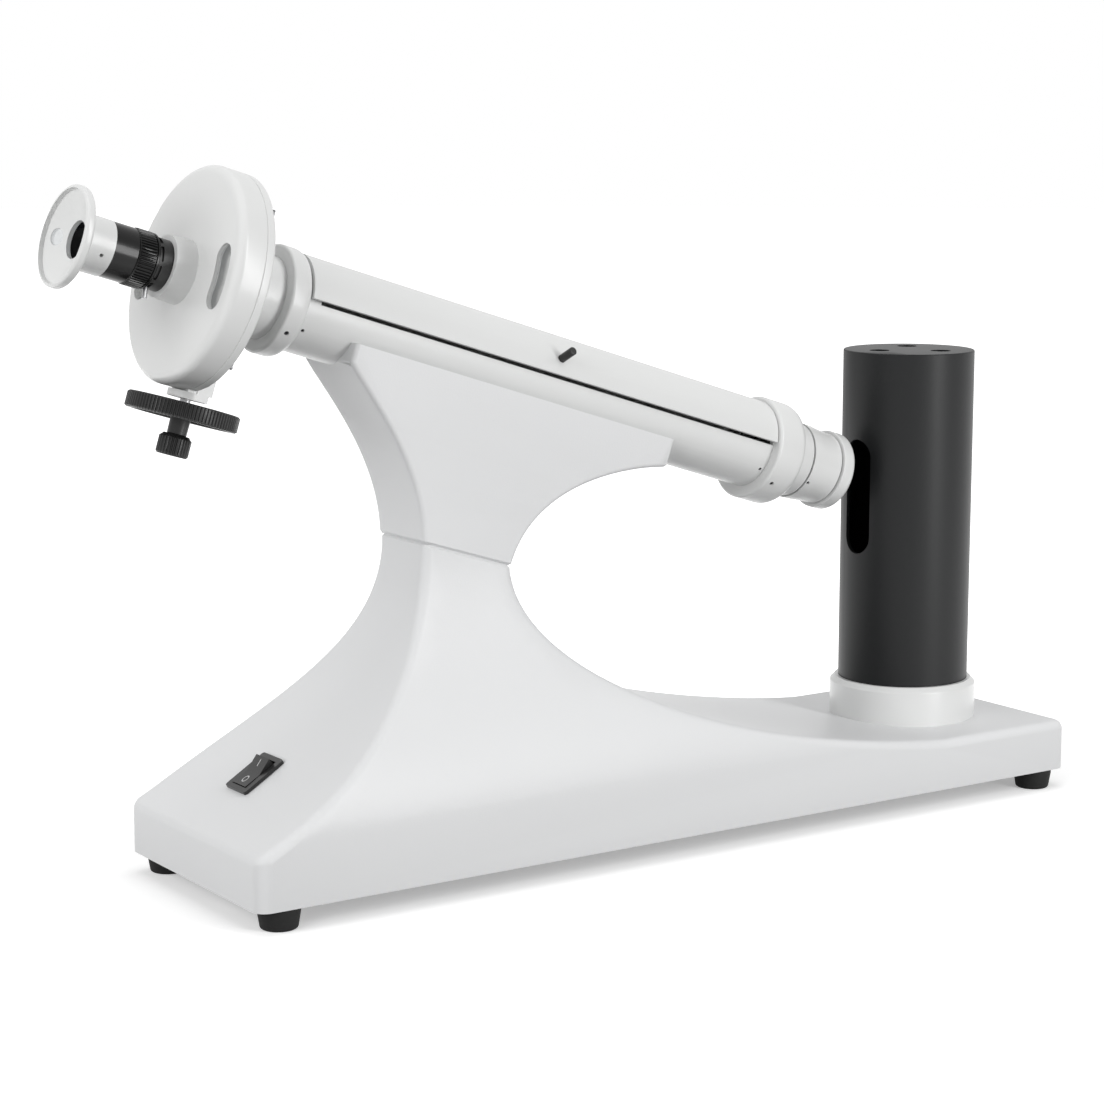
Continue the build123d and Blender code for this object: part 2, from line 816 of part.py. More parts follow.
with BuildPart() as saddle_casting:
    with BuildSketch(saddle_far_side):
        draw_saddle_side(0.0)
    extrude(amount=2 * base_width)
    with BuildSketch(cross_plane(saddle_front)):
        draw_saddle_section(0.0)
    extrude(amount=saddle_back - saddle_front, mode=Mode.INTERSECT)
    seam = saddle_casting.faces().filter_by(level_plane(0.0, 0.0)).sort_by(Axis.Z)[0].edges()
    crown = saddle_casting.faces().filter_by(level_plane(0.0, 0.0)).sort_by(Axis.Z)[-1].edges()
    fillet(saddle_casting.edges() - seam - crown, saddle_edge_radius)
    chamfer(saddle_casting.faces().filter_by(level_plane(0.0, 0.0)).sort_by(Axis.Z)[0].edges(), seam_chamfer)
    add(saddle_pocket.part, mode=Mode.SUBTRACT)
    turn_disc(saddle_front - overrun, saddle_back + overrun, trough_radius + fit, mode=Mode.SUBTRACT)
    with BuildSketch(level_plane(0.0, -neck_drop)):
        with Locations(*[(station, 0) for station in bolt_stations]):
            Circle(bolt_radius + fit)
    extrude(amount=bolt_reach, mode=Mode.SUBTRACT)
    with BuildSketch(level_plane(0.0, -trough_bore)):
        with Locations(*[(station, 0) for station in trough_screw_stations]):
            Circle(trough_screw_radius + fit)
    extrude(amount=-trough_wall - trough_screw_length, mode=Mode.SUBTRACT)
save(saddle_casting.part, "saddle_casting")

with BuildPart() as saddle_bolts:
    for station in bolt_stations:
        turn_across(
            station,
            (0, bolt_reach - neck_drop - play),
            (bolt_radius, bolt_reach - neck_drop - play),
            (bolt_radius, cavity_top),
            (bolt_head_radius, cavity_top),
            (bolt_head_radius, cavity_top - bolt_head),
            (0, cavity_top - bolt_head),
        )
save(saddle_bolts.part, "saddle_bolts")

# Grub screws of the rings, the trough and the polariser mount, as station, angle, radius, outside and seat
trough_seat = trough_radius + fit
neck_seat = neck_tube_radius + fit
set_screws = {
    "analyser_ring": [
        (analyser_ring_front + neck_screw_inset, neck_screw_angle, set_screw_radius, analyser_ring_radius, neck_seat),
    ],
    "polariser_ring": [
        (
            polariser_ring_front + trough_end_screw_inset,
            trough_end_screw_angle,
            set_screw_radius,
            polariser_ring_radius,
            trough_seat,
        ),
    ],
    "sample_trough": [
        (analyser_ring_back + trough_grub_inset, trough_grub_angle, grub_radius, trough_radius, trough_bore),
        (polariser_ring_front - trough_grub_inset, trough_grub_angle, grub_radius, trough_radius, trough_bore),
    ],
    "polariser_mount": [
        (barrel_step + mount_screw_inset, trough_grub_angle, grub_radius, polariser_mount_radius, mount_seat + fit),
    ],
}


def set_screw_holes(piece):
    for station, angle, radius, outside, seat in set_screws[piece]:
        with BuildSketch(radial_plane(station, angle, seat - overrun)) as hole:
            Circle(radius + fit)
        extrude(hole.sketch, amount=outside, mode=Mode.SUBTRACT)


# Sample trough: a tube with its top open between the rings
with BuildPart() as sample_trough:
    turn_tube(trough_front, trough_back, trough_radius, trough_bore)
    with BuildSketch(level_plane(0.0, trough_edge)):
        with Locations(((window_front + window_back) / 2, 0)):
            Rectangle(window_back - window_front, 2 * trough_radius + overrun)
    extrude(amount=trough_radius, mode=Mode.SUBTRACT)
    for station in trough_screw_stations:
        turn_across(
            station,
            (0, -trough_radius - overrun),
            (trough_screw_radius + fit, -trough_radius - overrun),
            (trough_screw_radius + fit, -trough_radius + trough_screw_land),
            (trough_screw_head + fit, -trough_bore - trough_screw_sink),
            (trough_screw_head + fit, -trough_bore + overrun),
            (0, -trough_bore + overrun),
            mode=Mode.SUBTRACT,
        )
    set_screw_holes("sample_trough")
save(sample_trough.part, "sample_trough")

with BuildPart() as trough_screws:
    for station in trough_screw_stations:
        turn_across(
            station,
            (0, play - trough_radius - trough_screw_length),
            (trough_screw_radius, play - trough_radius - trough_screw_length),
            (trough_screw_radius, -trough_radius + trough_screw_land),
            (trough_screw_head, -trough_bore - trough_screw_sink),
            (0, -trough_bore - trough_screw_sink),
        )
save(trough_screws.part, "trough_screws")

# Rings that close the ends of the trough and carry the hinge rod
hinge_across = hinge_circle * cos(radians(hinge_angle))
hinge_height = hinge_circle * sin(radians(hinge_angle))


def hinge_plane(station):
    return Plane(origin=tube_point(station, hinge_height, hinge_across), x_dir=(0, 1, 0), z_dir=along)


handle_plane = radial_plane(handle_station, handle_angle, lid_inner_radius)


with BuildPart() as analyser_ring:
    turn(
        (analyser_ring_front, neck_seat),
        (analyser_ring_front, analyser_ring_radius),
        (analyser_ring_back, analyser_ring_radius),
        (analyser_ring_back, trough_seat),
        (trough_front, trough_seat),
        (trough_front, neck_seat),
    )
    ring_edges = analyser_ring.edges().filter_by(GeomType.CIRCLE).group_by(SortBy.RADIUS)[-1].sort_by(tube_axis)
    fillet(ring_edges[-1], analyser_ring_back_fillet)
    ring_edges = analyser_ring.edges().filter_by(GeomType.CIRCLE).group_by(SortBy.RADIUS)[-1].sort_by(tube_axis)
    fillet(ring_edges[0], analyser_ring_fillet)
    with BuildSketch(hinge_plane(analyser_ring_back)):
        Circle(hinge_rod_radius + fit)
    extrude(amount=-hinge_socket_depth, mode=Mode.SUBTRACT)
    set_screw_holes("analyser_ring")
save(analyser_ring.part, "analyser_ring")

barrel_spigot = trough_bore - fit
with BuildPart() as polariser_ring:
    turn(
        (polariser_ring_front, trough_seat),
        (polariser_ring_front, polariser_ring_radius),
        (polariser_ring_back, polariser_ring_radius),
        (polariser_ring_back, barrel_spigot + fit),
        (trough_back, barrel_spigot + fit),
        (trough_back, trough_seat),
    )
    round_edges = polariser_ring.edges().filter_by(GeomType.CIRCLE).group_by(SortBy.RADIUS)[-1].sort_by(tube_axis)
    fillet(round_edges[-1], polariser_ring_fillet)
    fillet(polariser_ring.edges().filter_by(GeomType.CIRCLE).group_by(SortBy.RADIUS)[-1].sort_by(tube_axis)[0], analyser_ring_fillet)
    with BuildSketch(hinge_plane(polariser_ring_front)):
        Circle(hinge_rod_radius + fit)
    extrude(amount=hinge_socket_depth, mode=Mode.SUBTRACT)
    set_screw_holes("polariser_ring")
save(polariser_ring.part, "polariser_ring")

with BuildPart() as hinge_rod:
    with BuildSketch(hinge_plane(analyser_ring_back - hinge_socket_depth + play)):
        Circle(hinge_rod_radius)
    extrude(amount=polariser_ring_front - analyser_ring_back + 2 * (hinge_socket_depth - play))
save(hinge_rod.part, "hinge_rod")

# Half-round lid with a rolled knuckle along its far edge
lid_outer = lid_inner_radius + lid_wall
with BuildPart() as lid:
    with BuildSketch(cross_plane(lid_front)):
        Circle(lid_outer)
        Circle(lid_inner_radius, mode=Mode.SUBTRACT)
        with BuildLine():
            Polyline(
                (0, 0),
                (-2 * lid_outer * cos(radians(lid_front_angle)), 2 * lid_outer * sin(radians(lid_front_angle))),
                (-2 * lid_outer, 2 * lid_outer),
                (2 * lid_outer, 2 * lid_outer),
                (2 * lid_outer * cos(radians(hinge_angle)), 2 * lid_outer * sin(radians(hinge_angle))),
                close=True,
            )
        make_face(mode=Mode.INTERSECT)
        with Locations((hinge_across, hinge_height)):
            Circle(knuckle_radius)
            Circle(hinge_rod_radius + running_fit, mode=Mode.SUBTRACT)
    extrude(amount=lid_back - lid_front)
    with BuildSketch(handle_plane.offset(-lid_wall)):
        Circle(handle_spigot_radius + fit)
    extrude(amount=3 * lid_wall, mode=Mode.SUBTRACT)
save(lid.part, "lid")

with BuildPart() as lid_handle:
    with BuildSketch(handle_plane.offset(handle_under)):
        Circle(handle_spigot_radius)
    extrude(amount=lid_wall - handle_under)
    with BuildSketch(handle_plane.offset(lid_wall)):
        Circle(handle_radius)
    extrude(amount=handle_length)
    fillet(lid_handle.edges().filter_by(GeomType.CIRCLE).group_by(SortBy.RADIUS)[-1].sort_by(Axis.Z)[-1], handle_rounding)
save(lid_handle.part, "lid_handle")

with BuildPart() as ring_set_screws:
    for piece in set_screws:
        for station, angle, radius, outside, seat in set_screws[piece]:
            with BuildSketch(radial_plane(station, angle, seat)):
                Circle(radius)
            extrude(amount=outside - seat - set_screw_sink)
save(ring_set_screws.part, "ring_set_screws")

# Fixed tube behind the dial, with the bearing bore and a pocket for the retaining ring
plate_recess = plate_front + neck_flange_thickness
pocket_radius = sleeve_shoulder_radius + play
bearing_bore = sleeve_radius + running_fit
with BuildPart() as analyser_neck:
    turn(
        (plate_front, bearing_bore),
        (plate_front, neck_flange_radius),
        (plate_recess, neck_flange_radius),
        (plate_recess, neck_tube_radius),
        (trough_front, neck_tube_radius),
        (trough_front, pocket_radius),
        (bearing_back, pocket_radius),
        (bearing_back, bearing_bore),
    )
save(analyser_neck.part, "analyser_neck")

# Back plate of the dial housing, notched below for the drive
notch_top = pinion_housing_top + fit
with BuildPart() as dial_back_plate:
    turn(
        (plate_front, neck_flange_radius + fit),
        (plate_front, housing_radius),
        (plate_back, housing_radius),
        (plate_back, neck_tube_radius + fit),
        (plate_recess, neck_tube_radius + fit),
        (plate_recess, neck_flange_radius + fit),
    )
    plate_rims = dial_back_plate.edges().filter_by(GeomType.CIRCLE).group_by(SortBy.RADIUS)[-1].sort_by(tube_axis)
    chamfer(plate_rims[0], housing_seam_chamfer)
    plate_rims = dial_back_plate.edges().filter_by(GeomType.CIRCLE).group_by(SortBy.RADIUS)[-1].sort_by(tube_axis)
    fillet(plate_rims[-1], plate_rounding)
    with BuildSketch(cross_plane(plate_front - overrun)):
        with Locations((0, (notch_top - housing_radius - overrun) / 2)):
            Rectangle(2 * (pinion_cavity_half + play), housing_radius + overrun + notch_top)
    extrude(amount=plate_back - plate_front + 2 * overrun, mode=Mode.SUBTRACT)
    with BuildSketch(cross_plane(plate_front)):
        with PolarLocations(housing_radius - cover_wall / 2, cover_screws, start_angle=cover_screw_turn):
            Circle(cover_screw_radius + fit)
    extrude(amount=plate_back - plate_front, mode=Mode.SUBTRACT)
save(dial_back_plate.part, "dial_back_plate")

# Drawn cover with two kidney windows beside the eyepiece
cover_inner = cover_front + cover_wall


def draw_windows(width):
    for turn_to in (0, 180):
        start = turn_to - dial_window_half_angle
        with BuildLine():
            middle = CenterArc((0, 0), dial_window_circle, start, 2 * dial_window_half_angle)
        SlotArc(middle, width)


with BuildPart() as dial_cover:
    turn(
        (cover_front, hub_spigot_radius + fit),
        (cover_front, housing_radius),
        (plate_front, housing_radius),
        (plate_front, cover_bore),
        (cover_inner, cover_bore),
        (cover_inner, hub_spigot_radius + fit),
    )
    cover_rims = dial_cover.edges().filter_by(GeomType.CIRCLE).group_by(SortBy.RADIUS)[-1].sort_by(tube_axis)
    chamfer(cover_rims[-1], housing_seam_chamfer)
    cover_rims = dial_cover.edges().filter_by(GeomType.CIRCLE).group_by(SortBy.RADIUS)[-1].sort_by(tube_axis)
    fillet(cover_rims[0], housing_edge_radius)
    inner_rim = dial_cover.edges().filter_by(GeomType.CIRCLE).filter_by(lambda e: abs(e.radius - cover_bore) < fit)
    fillet(inner_rim.sort_by(tube_axis)[0], housing_edge_radius - cover_wall)
    with BuildSketch(cross_plane(cover_front)):
        draw_windows(dial_window_width)
    extrude(amount=cover_wall, mode=Mode.SUBTRACT)
    with BuildSketch(cross_plane(plate_front)):
        with PolarLocations(housing_radius - cover_wall / 2, cover_screws, start_angle=cover_screw_turn):
            Circle(cover_screw_radius + fit)
    extrude(amount=-cover_screw_reach, mode=Mode.SUBTRACT)
save(dial_cover.part, "dial_cover")

with BuildPart() as window_panes:
    with BuildSketch(cross_plane(cover_inner - pane_thickness)):
        draw_windows(dial_window_width - 2 * fit)
    extrude(amount=pane_thickness)
save(window_panes.part, "window_panes")

with BuildPart() as dial_cover_screws:
    with BuildSketch(cross_plane(plate_back)):
        with PolarLocations(housing_radius - cover_wall / 2, cover_screws, start_angle=cover_screw_turn):
            Circle(cover_screw_radius)
    extrude(amount=plate_front - plate_back - cover_screw_reach + play)
    with BuildSketch(cross_plane(plate_back)):
        with PolarLocations(housing_radius - cover_wall / 2, cover_screws, start_angle=cover_screw_turn):
            Circle(cover_screw_head)
    extrude(amount=cover_screw_radius)
save(dial_cover_screws.part, "dial_cover_screws")

# Two fixed verniers, stepped down from the cover to the plane of the dial
vernier_back = dial_front
with BuildPart() as verniers:
    with BuildSketch(cross_plane(cover_inner)):
        Circle(vernier_outer + vernier_foot)
        Circle(vernier_outer, mode=Mode.SUBTRACT)
    extrude(amount=vernier_back - cover_inner)
    with BuildSketch(cross_plane(vernier_back)):
        Circle(vernier_outer)
        Circle(vernier_inner, mode=Mode.SUBTRACT)
    extrude(amount=-vernier_thickness)
    with BuildSketch(cross_plane(cover_inner)):
        for turn_to in (0, 180):
            with Locations(Rotation(0, 0, turn_to)):
                Polygon(
                    (0, 0),
                    (2 * vernier_outer, -2 * vernier_outer * tan(radians(vernier_span / 2))),
                    (2 * vernier_outer, 2 * vernier_outer * tan(radians(vernier_span / 2))),
                    align=None,
                )
    extrude(amount=vernier_back - cover_inner, mode=Mode.INTERSECT)
save(verniers.part, "verniers")

# Dial on the flange of the analyser sleeve, with the crown gear behind its rim
dial_back = dial_front + dial_thickness
with BuildPart() as dial:
    turn_tube(dial_front, dial_back, dial_radius, dial_hole_radius)
save(dial.part, "dial")

pitch_radius = gear_module * pinion_teeth / 2
crown_pitch = shaft_station - pitch_radius
crown_tip = crown_pitch + gear_addendum
flank = tan(radians(flank_lean))
with BuildPart() as tooth_gap:
    with BuildSketch(Plane(origin=(crown_radius - crown_face, 0, 0), x_dir=(0, 1, 0), z_dir=(1, 0, 0))):
        Polygon(
            (-tooth_gap_half - 2 * gear_addendum * flank, 2 * gear_addendum),
            (tooth_gap_half + 2 * gear_addendum * flank, 2 * gear_addendum),
            (tooth_gap_half - gear_dedendum * flank, -gear_dedendum),
            (gear_dedendum * flank - tooth_gap_half, -gear_dedendum),
            align=None,
        )
    extrude(amount=2 * crown_face)
with BuildPart() as crown_gear:
    turn_tube(dial_back, crown_tip, crown_radius + crown_face / 2, crown_radius - crown_face / 2)
    with Locations(cross_plane(crown_pitch)):
        with PolarLocations(0, crown_teeth):
            add(tooth_gap.part, mode=Mode.SUBTRACT)
save(crown_gear.part, "crown_gear")

shoulder_back = plate_front - play / 2
with BuildPart() as analyser_sleeve:
    turn(
        (dial_back, sleeve_bore),
        (dial_back, sleeve_flange_radius),
        (dial_back + sleeve_flange_thickness, sleeve_flange_radius),
        (dial_back + sleeve_flange_thickness, sleeve_shoulder_radius),
        (shoulder_back, sleeve_shoulder_radius),
        (shoulder_back, sleeve_radius),
        (bearing_back + play / 2, sleeve_radius),
        (bearing_back + play / 2, retainer_bore),
        (sleeve_back, retainer_bore),
        (sleeve_back, sleeve_bore),
    )
save(analyser_sleeve.part, "analyser_sleeve")

with BuildPart() as dial_retaining_ring:
    turn_tube(bearing_back + play / 2, sleeve_back, sleeve_shoulder_radius, retainer_bore + fit)
save(dial_retaining_ring.part, "dial_retaining_ring")

with BuildPart() as analyser:
    turn_disc(analyser_station, analyser_station + analyser_thickness, sleeve_bore - fit)
save(analyser.part, "analyser")

# Pinion housing behind the plate, with a nose in the notch and a shelf below
housing_back = shaft_station + pitch_radius + gear_module + play
cavity_low = -crown_radius - pinion_face / 2 - play
cavity_high = -crown_radius + pinion_face / 2 + play
nose_front = plate_front + fit
with BuildPart() as pinion_housing:
    with BuildSketch(cross_plane(plate_back)):
        with Locations((0, (pinion_housing_top + shelf_top) / 2)):
            Rectangle(2 * housing_half_width, pinion_housing_top - shelf_top)
    extrude(amount=block_back - plate_back)
    with BuildSketch(cross_plane(nose_front)):
        with Locations((0, (pinion_housing_top + shelf_top) / 2)):
            Rectangle(2 * pinion_cavity_half, pinion_housing_top - shelf_top)
    extrude(amount=plate_back - nose_front)
    with BuildSketch(level_plane(0.0, shelf_top)):
        with Locations((shelf_front + housing_half_width, 0)):
            Circle(housing_half_width)
        with Locations(((shelf_front + housing_half_width + shelf_back) / 2, 0)):
            Rectangle(shelf_back - shelf_front - housing_half_width, 2 * housing_half_width)
    extrude(amount=shelf_bottom - shelf_top)
    with BuildSketch(level_plane(0.0, cavity_high)):
        with Locations(((nose_front - overrun + housing_back) / 2, 0)):
            Rectangle(housing_back - nose_front + overrun, 2 * (pitch_radius + gear_module + play))
    extrude(amount=cavity_low - cavity_high, mode=Mode.SUBTRACT)
    with BuildSketch(level_plane(shaft_station, shelf_bottom)):
        Circle(bush_radius + fit)
    extrude(amount=cavity_low - shelf_bottom, mode=Mode.SUBTRACT)
    with BuildSketch(level_plane(shaft_station, cavity_high)):
        Circle(shaft_radius + running_fit)
    extrude(amount=shaft_top - cavity_high + play, mode=Mode.SUBTRACT)
save(pinion_housing.part, "pinion_housing")

with BuildPart() as shaft_bush:
    with BuildSketch(level_plane(shaft_station, shelf_bottom)):
        Circle(bush_radius)
        Circle(shaft_radius + running_fit, mode=Mode.SUBTRACT)
    extrude(amount=cavity_low - shelf_bottom)
save(shaft_bush.part, "shaft_bush")

with BuildPart() as drive_shaft:
    with BuildSketch(level_plane(shaft_station, shaft_top)):
        Circle(shaft_radius)
    extrude(amount=knob_bottom + knob_cap - shaft_top)
save(drive_shaft.part, "drive_shaft")

with BuildPart() as pinion:
    with BuildSketch(level_plane(shaft_station, -crown_radius - pinion_face / 2)):
        Circle(pitch_radius - gear_dedendum)
        with PolarLocations(0, pinion_teeth):
            Polygon(
                (shaft_radius, -pinion_tooth_half - pitch_radius * flank / 2),
                (pitch_radius + gear_module, -pinion_tooth_half + gear_module * flank),
                (pitch_radius + gear_module, pinion_tooth_half - gear_module * flank),
                (shaft_radius, pinion_tooth_half + pitch_radius * flank / 2),
                align=None,
            )
        Circle(shaft_radius + fit, mode=Mode.SUBTRACT)
    extrude(amount=pinion_face)
save(pinion.part, "pinion")

# Fluted handwheel with a hollow underside, and the small knob below it on the same shaft
with BuildPart() as handwheel:
    with BuildSketch(level_plane(shaft_station, handwheel_top)):
        Circle(handwheel_radius)
        with PolarLocations(handwheel_radius + flute_radius / 2, handwheel_flutes):
            RegularPolygon(flute_radius, 4, mode=Mode.SUBTRACT)
    extrude(amount=handwheel_bottom - handwheel_top)
    with BuildSketch(level_plane(shaft_station, handwheel_bottom)):
        Circle(handwheel_radius - handwheel_wall)
    extrude(amount=handwheel_top - handwheel_bottom - handwheel_wall, mode=Mode.SUBTRACT)
    with BuildSketch(level_plane(shaft_station, handwheel_top)):
        Circle(handwheel_hub_radius)
    extrude(amount=handwheel_hub_bottom - handwheel_top)
    with BuildSketch(level_plane(shaft_station, handwheel_top)):
        Circle(shaft_radius + fit)
    extrude(amount=handwheel_hub_bottom - handwheel_top, mode=Mode.SUBTRACT)
save(handwheel.part, "handwheel")

with BuildPart() as fine_knob:
    with BuildSketch(level_plane(shaft_station, handwheel_hub_bottom)):
        Circle(knob_radius)
        with PolarLocations(knob_radius + knob_flute_radius / 2, knob_flutes):
            RegularPolygon(knob_flute_radius, 4, mode=Mode.SUBTRACT)
    extrude(amount=knob_bottom - handwheel_hub_bottom)
    with BuildSketch(level_plane(shaft_station, handwheel_hub_bottom)):
        Circle(shaft_radius + fit)
    extrude(amount=knob_bottom + knob_cap - handwheel_hub_bottom - play, mode=Mode.SUBTRACT)
save(fine_knob.part, "fine_knob")

# Eyepiece, from the hub on the cover out to the eyecup
guide_pin_seat = radial_plane(guide_pin_station, guide_pin_angle, barrel_radius - 2 * barrel_slot_depth)
with BuildPart() as eyepiece_holder:
    turn(
        (hub_front, barrel_spigot_radius + fit),
        (hub_front, hub_radius_front),
        (cover_front, hub_radius_back),
        (cover_front, hub_spigot_radius),
        (cover_inner, hub_spigot_radius),
        (cover_inner, barrel_spigot_radius + fit),
    )
save(eyepiece_holder.part, "eyepiece_holder")

with BuildPart() as eyepiece_barrel:
    turn(
        (guide_front, guide_bore),
        (guide_front, guide_radius),
        (barrel_front, guide_radius),
        (barrel_front, barrel_radius),
        (hub_front, barrel_radius),
        (hub_front, barrel_spigot_radius),
        (cover_inner, barrel_spigot_radius),
        (cover_inner, guide_bore),
    )
    with BuildSketch(cross_plane(barrel_front + barrel_slot_margin)):
        Circle(barrel_radius)
        Circle(barrel_radius - barrel_slot_depth, mode=Mode.SUBTRACT)
        with PolarLocations(barrel_radius, barrel_slots):
            Rectangle(4 * barrel_slot_depth, barrel_land_width, mode=Mode.SUBTRACT)
    extrude(amount=barrel_slot_width, mode=Mode.SUBTRACT)
    with BuildSketch(guide_pin_seat):
        Circle(guide_pin_radius + fit)
    extrude(amount=barrel_radius, mode=Mode.SUBTRACT)
save(eyepiece_barrel.part, "eyepiece_barrel")

with BuildPart() as guide_pin:
    with BuildSketch(guide_pin_seat):
        Circle(guide_pin_radius)
    extrude(amount=guide_pin_length)
save(guide_pin.part, "guide_pin")

with BuildPart() as objective_lens:
    turn_lens(cover_inner - objective_thickness, cover_inner, guide_bore - fit, lens_bulge)
save(objective_lens.part, "objective_lens")

with BuildPart() as focus_ring:
    turn(
        (focus_front, skirt_outer + running_fit),
        (focus_front, focus_radius),
        (barrel_front - play, focus_radius),
        (barrel_front - play, guide_radius + running_fit),
        (focus_step, guide_radius + running_fit),
        (focus_step, skirt_outer + running_fit),
    )
    with BuildSketch(cross_plane(focus_front)):
        with PolarLocations(focus_radius + focus_flute_radius / 2, focus_ribs):
            RegularPolygon(focus_flute_radius, 4, mode=Mode.ADD)
    extrude(amount=barrel_front - play - focus_front, mode=Mode.SUBTRACT)
save(focus_ring.part, "focus_ring")

with BuildPart() as eyepiece_tube:
    turn(
        (collar_spigot_front, lens_seat),
        (collar_spigot_front, collar_bore - fit),
        (gloss_front, collar_bore - fit),
        (gloss_front, gloss_radius),
        (focus_front - play, gloss_radius),
        (focus_front - play, skirt_outer),
        (focus_step - play, skirt_outer),
        (focus_step - play, skirt_inner),
        (guide_front - focus_room, skirt_inner),
        (guide_front - focus_room, lens_seat),
    )
save(eyepiece_tube.part, "eyepiece_tube")

with BuildPart() as eyepiece_lens:
    turn_lens(collar_spigot_front + lens_inset, collar_spigot_front + lens_inset + eye_lens_thickness, lens_seat - fit, lens_bulge)
save(eyepiece_lens.part, "eyepiece_lens")

with BuildPart() as eyepiece_collar:
    turn_tube(eyecup_back, gloss_front, collar_radius, collar_bore)
    with BuildSketch(radial_plane(gloss_front - collar_hole_inset, collar_hole_angle, collar_bore - overrun)) as hole:
        Circle(grub_radius)
    extrude(hole.sketch, amount=collar_radius, mode=Mode.SUBTRACT)
save(eyepiece_collar.part, "eyepiece_collar")

# Eyecup with a dish that narrows to the eyehole, and one reading lens let into the dish
cone_lean = (cone_back - cone_front) / (eyecup_radius - eyecup_rim - eyehole_radius)
magnifier_station = cone_back - (magnifier_offset - eyehole_radius) * cone_lean
magnifier_seat = Plane(
    origin=tube_point(magnifier_station, 0.0, magnifier_offset),
    x_dir=outward,
    z_dir=(-along[0], -cone_lean, -along[2]),
)
with BuildPart() as eyecup_plate:
    turn(
        (eyecup_front, eyecup_radius - eyecup_rim),
        (eyecup_front, eyecup_radius),
        (eyecup_edge, eyecup_radius),
        (eyecup_back, collar_radius),
        (eyecup_back, collar_bore - fit),
        (eyecup_spigot_back, collar_bore - fit),
        (eyecup_spigot_back, eyehole_radius),
        (cone_back, eyehole_radius),
        (cone_front, eyecup_radius - eyecup_rim),
    )
    rims = eyecup_plate.edges().filter_by(GeomType.CIRCLE).group_by(SortBy.RADIUS)[-1]
    fillet(rims, eyecup_rim - play)
    with BuildSketch(magnifier_seat.offset(overrun)):
        Circle(magnifier_radius + fit)
    extrude(amount=-overrun - eyecup_edge_thickness, mode=Mode.SUBTRACT)
save(eyecup_plate.part, "eyecup_plate")

with BuildPart() as magnifier_lens:
    with BuildSketch(magnifier_seat.offset(-magnifier_sink)):
        Circle(magnifier_radius)
    extrude(amount=-magnifier_thickness)
save(magnifier_lens.part, "magnifier_lens")

# Polariser barrel beyond the low ring, its sleeve and its end cap
with BuildPart() as polariser_barrel:
    turn(
        (trough_back, polariser_bore),
        (trough_back, barrel_spigot),
        (polariser_ring_back, barrel_spigot),
        (polariser_ring_back, polariser_barrel_radius),
        (barrel_step, polariser_barrel_radius),
        (barrel_step, mount_seat),
        (cap_shoulder, mount_seat),
        (cap_shoulder, polariser_bore),
    )
save(polariser_barrel.part, "polariser_barrel")

with BuildPart() as polariser_mount:
    with BuildSketch(side) as mount_profile:
        with BuildLine():
            Line((barrel_step + groove, mount_seat + fit), (barrel_step + groove, polariser_mount_radius))
            Line((barrel_step + groove, polariser_mount_radius), (barrel_step + mount_band, polariser_mount_radius))
            ThreePointArc(
                (barrel_step + mount_band, polariser_mount_radius),
                ((barrel_step + mount_band + mount_back) / 2 + mount_band / 4, polariser_mount_waist + mount_sag),
                (mount_back, polariser_mount_waist),
            )
            Line((mount_back, polariser_mount_waist), (mount_back, mount_seat + fit))
            Line((mount_back, mount_seat + fit), (barrel_step + groove, mount_seat + fit))
        make_face()
    revolve(axis=tube_axis)
    set_screw_holes("polariser_mount")
save(polariser_mount.part, "polariser_mount")

with BuildPart() as collimator_cap:
    turn(
        (mount_back + groove, mount_seat + fit),
        (mount_back + groove, cap_radius),
        (cap_back, cap_radius),
        (cap_back, cap_hole_radius),
        (cap_shoulder + lens_land, cap_hole_radius),
        (cap_shoulder + lens_land, mount_seat - lens_land),
        (cap_shoulder, mount_seat - lens_land),
        (cap_shoulder, mount_seat + fit),
    )
    fillet(collimator_cap.edges().filter_by(GeomType.CIRCLE).group_by(SortBy.RADIUS)[-1].sort_by(tube_axis)[-1], cap_rounding)
    fillet(collimator_cap.edges().filter_by(GeomType.CIRCLE).group_by(SortBy.RADIUS)[-1].sort_by(tube_axis)[0], groove)
save(collimator_cap.part, "collimator_cap")

with BuildPart() as collimator_lens:
    turn_lens(cap_shoulder, cap_shoulder + lens_land, mount_seat - lens_land - fit, lens_bulge)
save(collimator_lens.part, "collimator_lens")

optics = {
    "half_shade_plate": (trough_back + optic_inset, half_shade_thickness),
    "polariser": (polariser_ring_back + optic_inset, optic_thickness),
    "colour_filter": (mount_back - optic_inset, optic_thickness),
}
for name, (station, thickness) in optics.items():
    with BuildPart() as optic:
        turn_disc(station, station + thickness, polariser_bore - fit)
    save(optic.part, name)

with BuildPart() as chamber_windows:
    turn_disc(trough_front + fit, trough_front + optic_thickness, trough_bore - fit)
    turn_disc(trough_back - optic_thickness, trough_back - fit, trough_bore - fit)
save(chamber_windows.part, "chamber_windows")

# Pedestal, socket, bulb and slotted housing of the lamp
lamp_base = (lamp_x, 0.0, 0.0)
housing_bore = lamp_radius - lamp_wall
with BuildPart() as lamp_ring:
    turn_upright(
        lamp_base,
        (socket_flange, lamp_seat),
        (pedestal_radius, lamp_seat),
        (pedestal_radius, lamp_bottom - pedestal_chamfer),
        (pedestal_radius - pedestal_chamfer, lamp_bottom),
        (housing_bore - fit, lamp_bottom),
        (housing_bore - fit, lamp_bottom + lamp_spigot),
        (socket_flange, lamp_bottom + lamp_spigot),
    )
    fillet(lamp_ring.edges().filter_by(GeomType.CIRCLE).group_by(SortBy.RADIUS)[-1].sort_by(Axis.Z)[-1], pedestal_rounding)
save(lamp_ring.part, "lamp_ring")

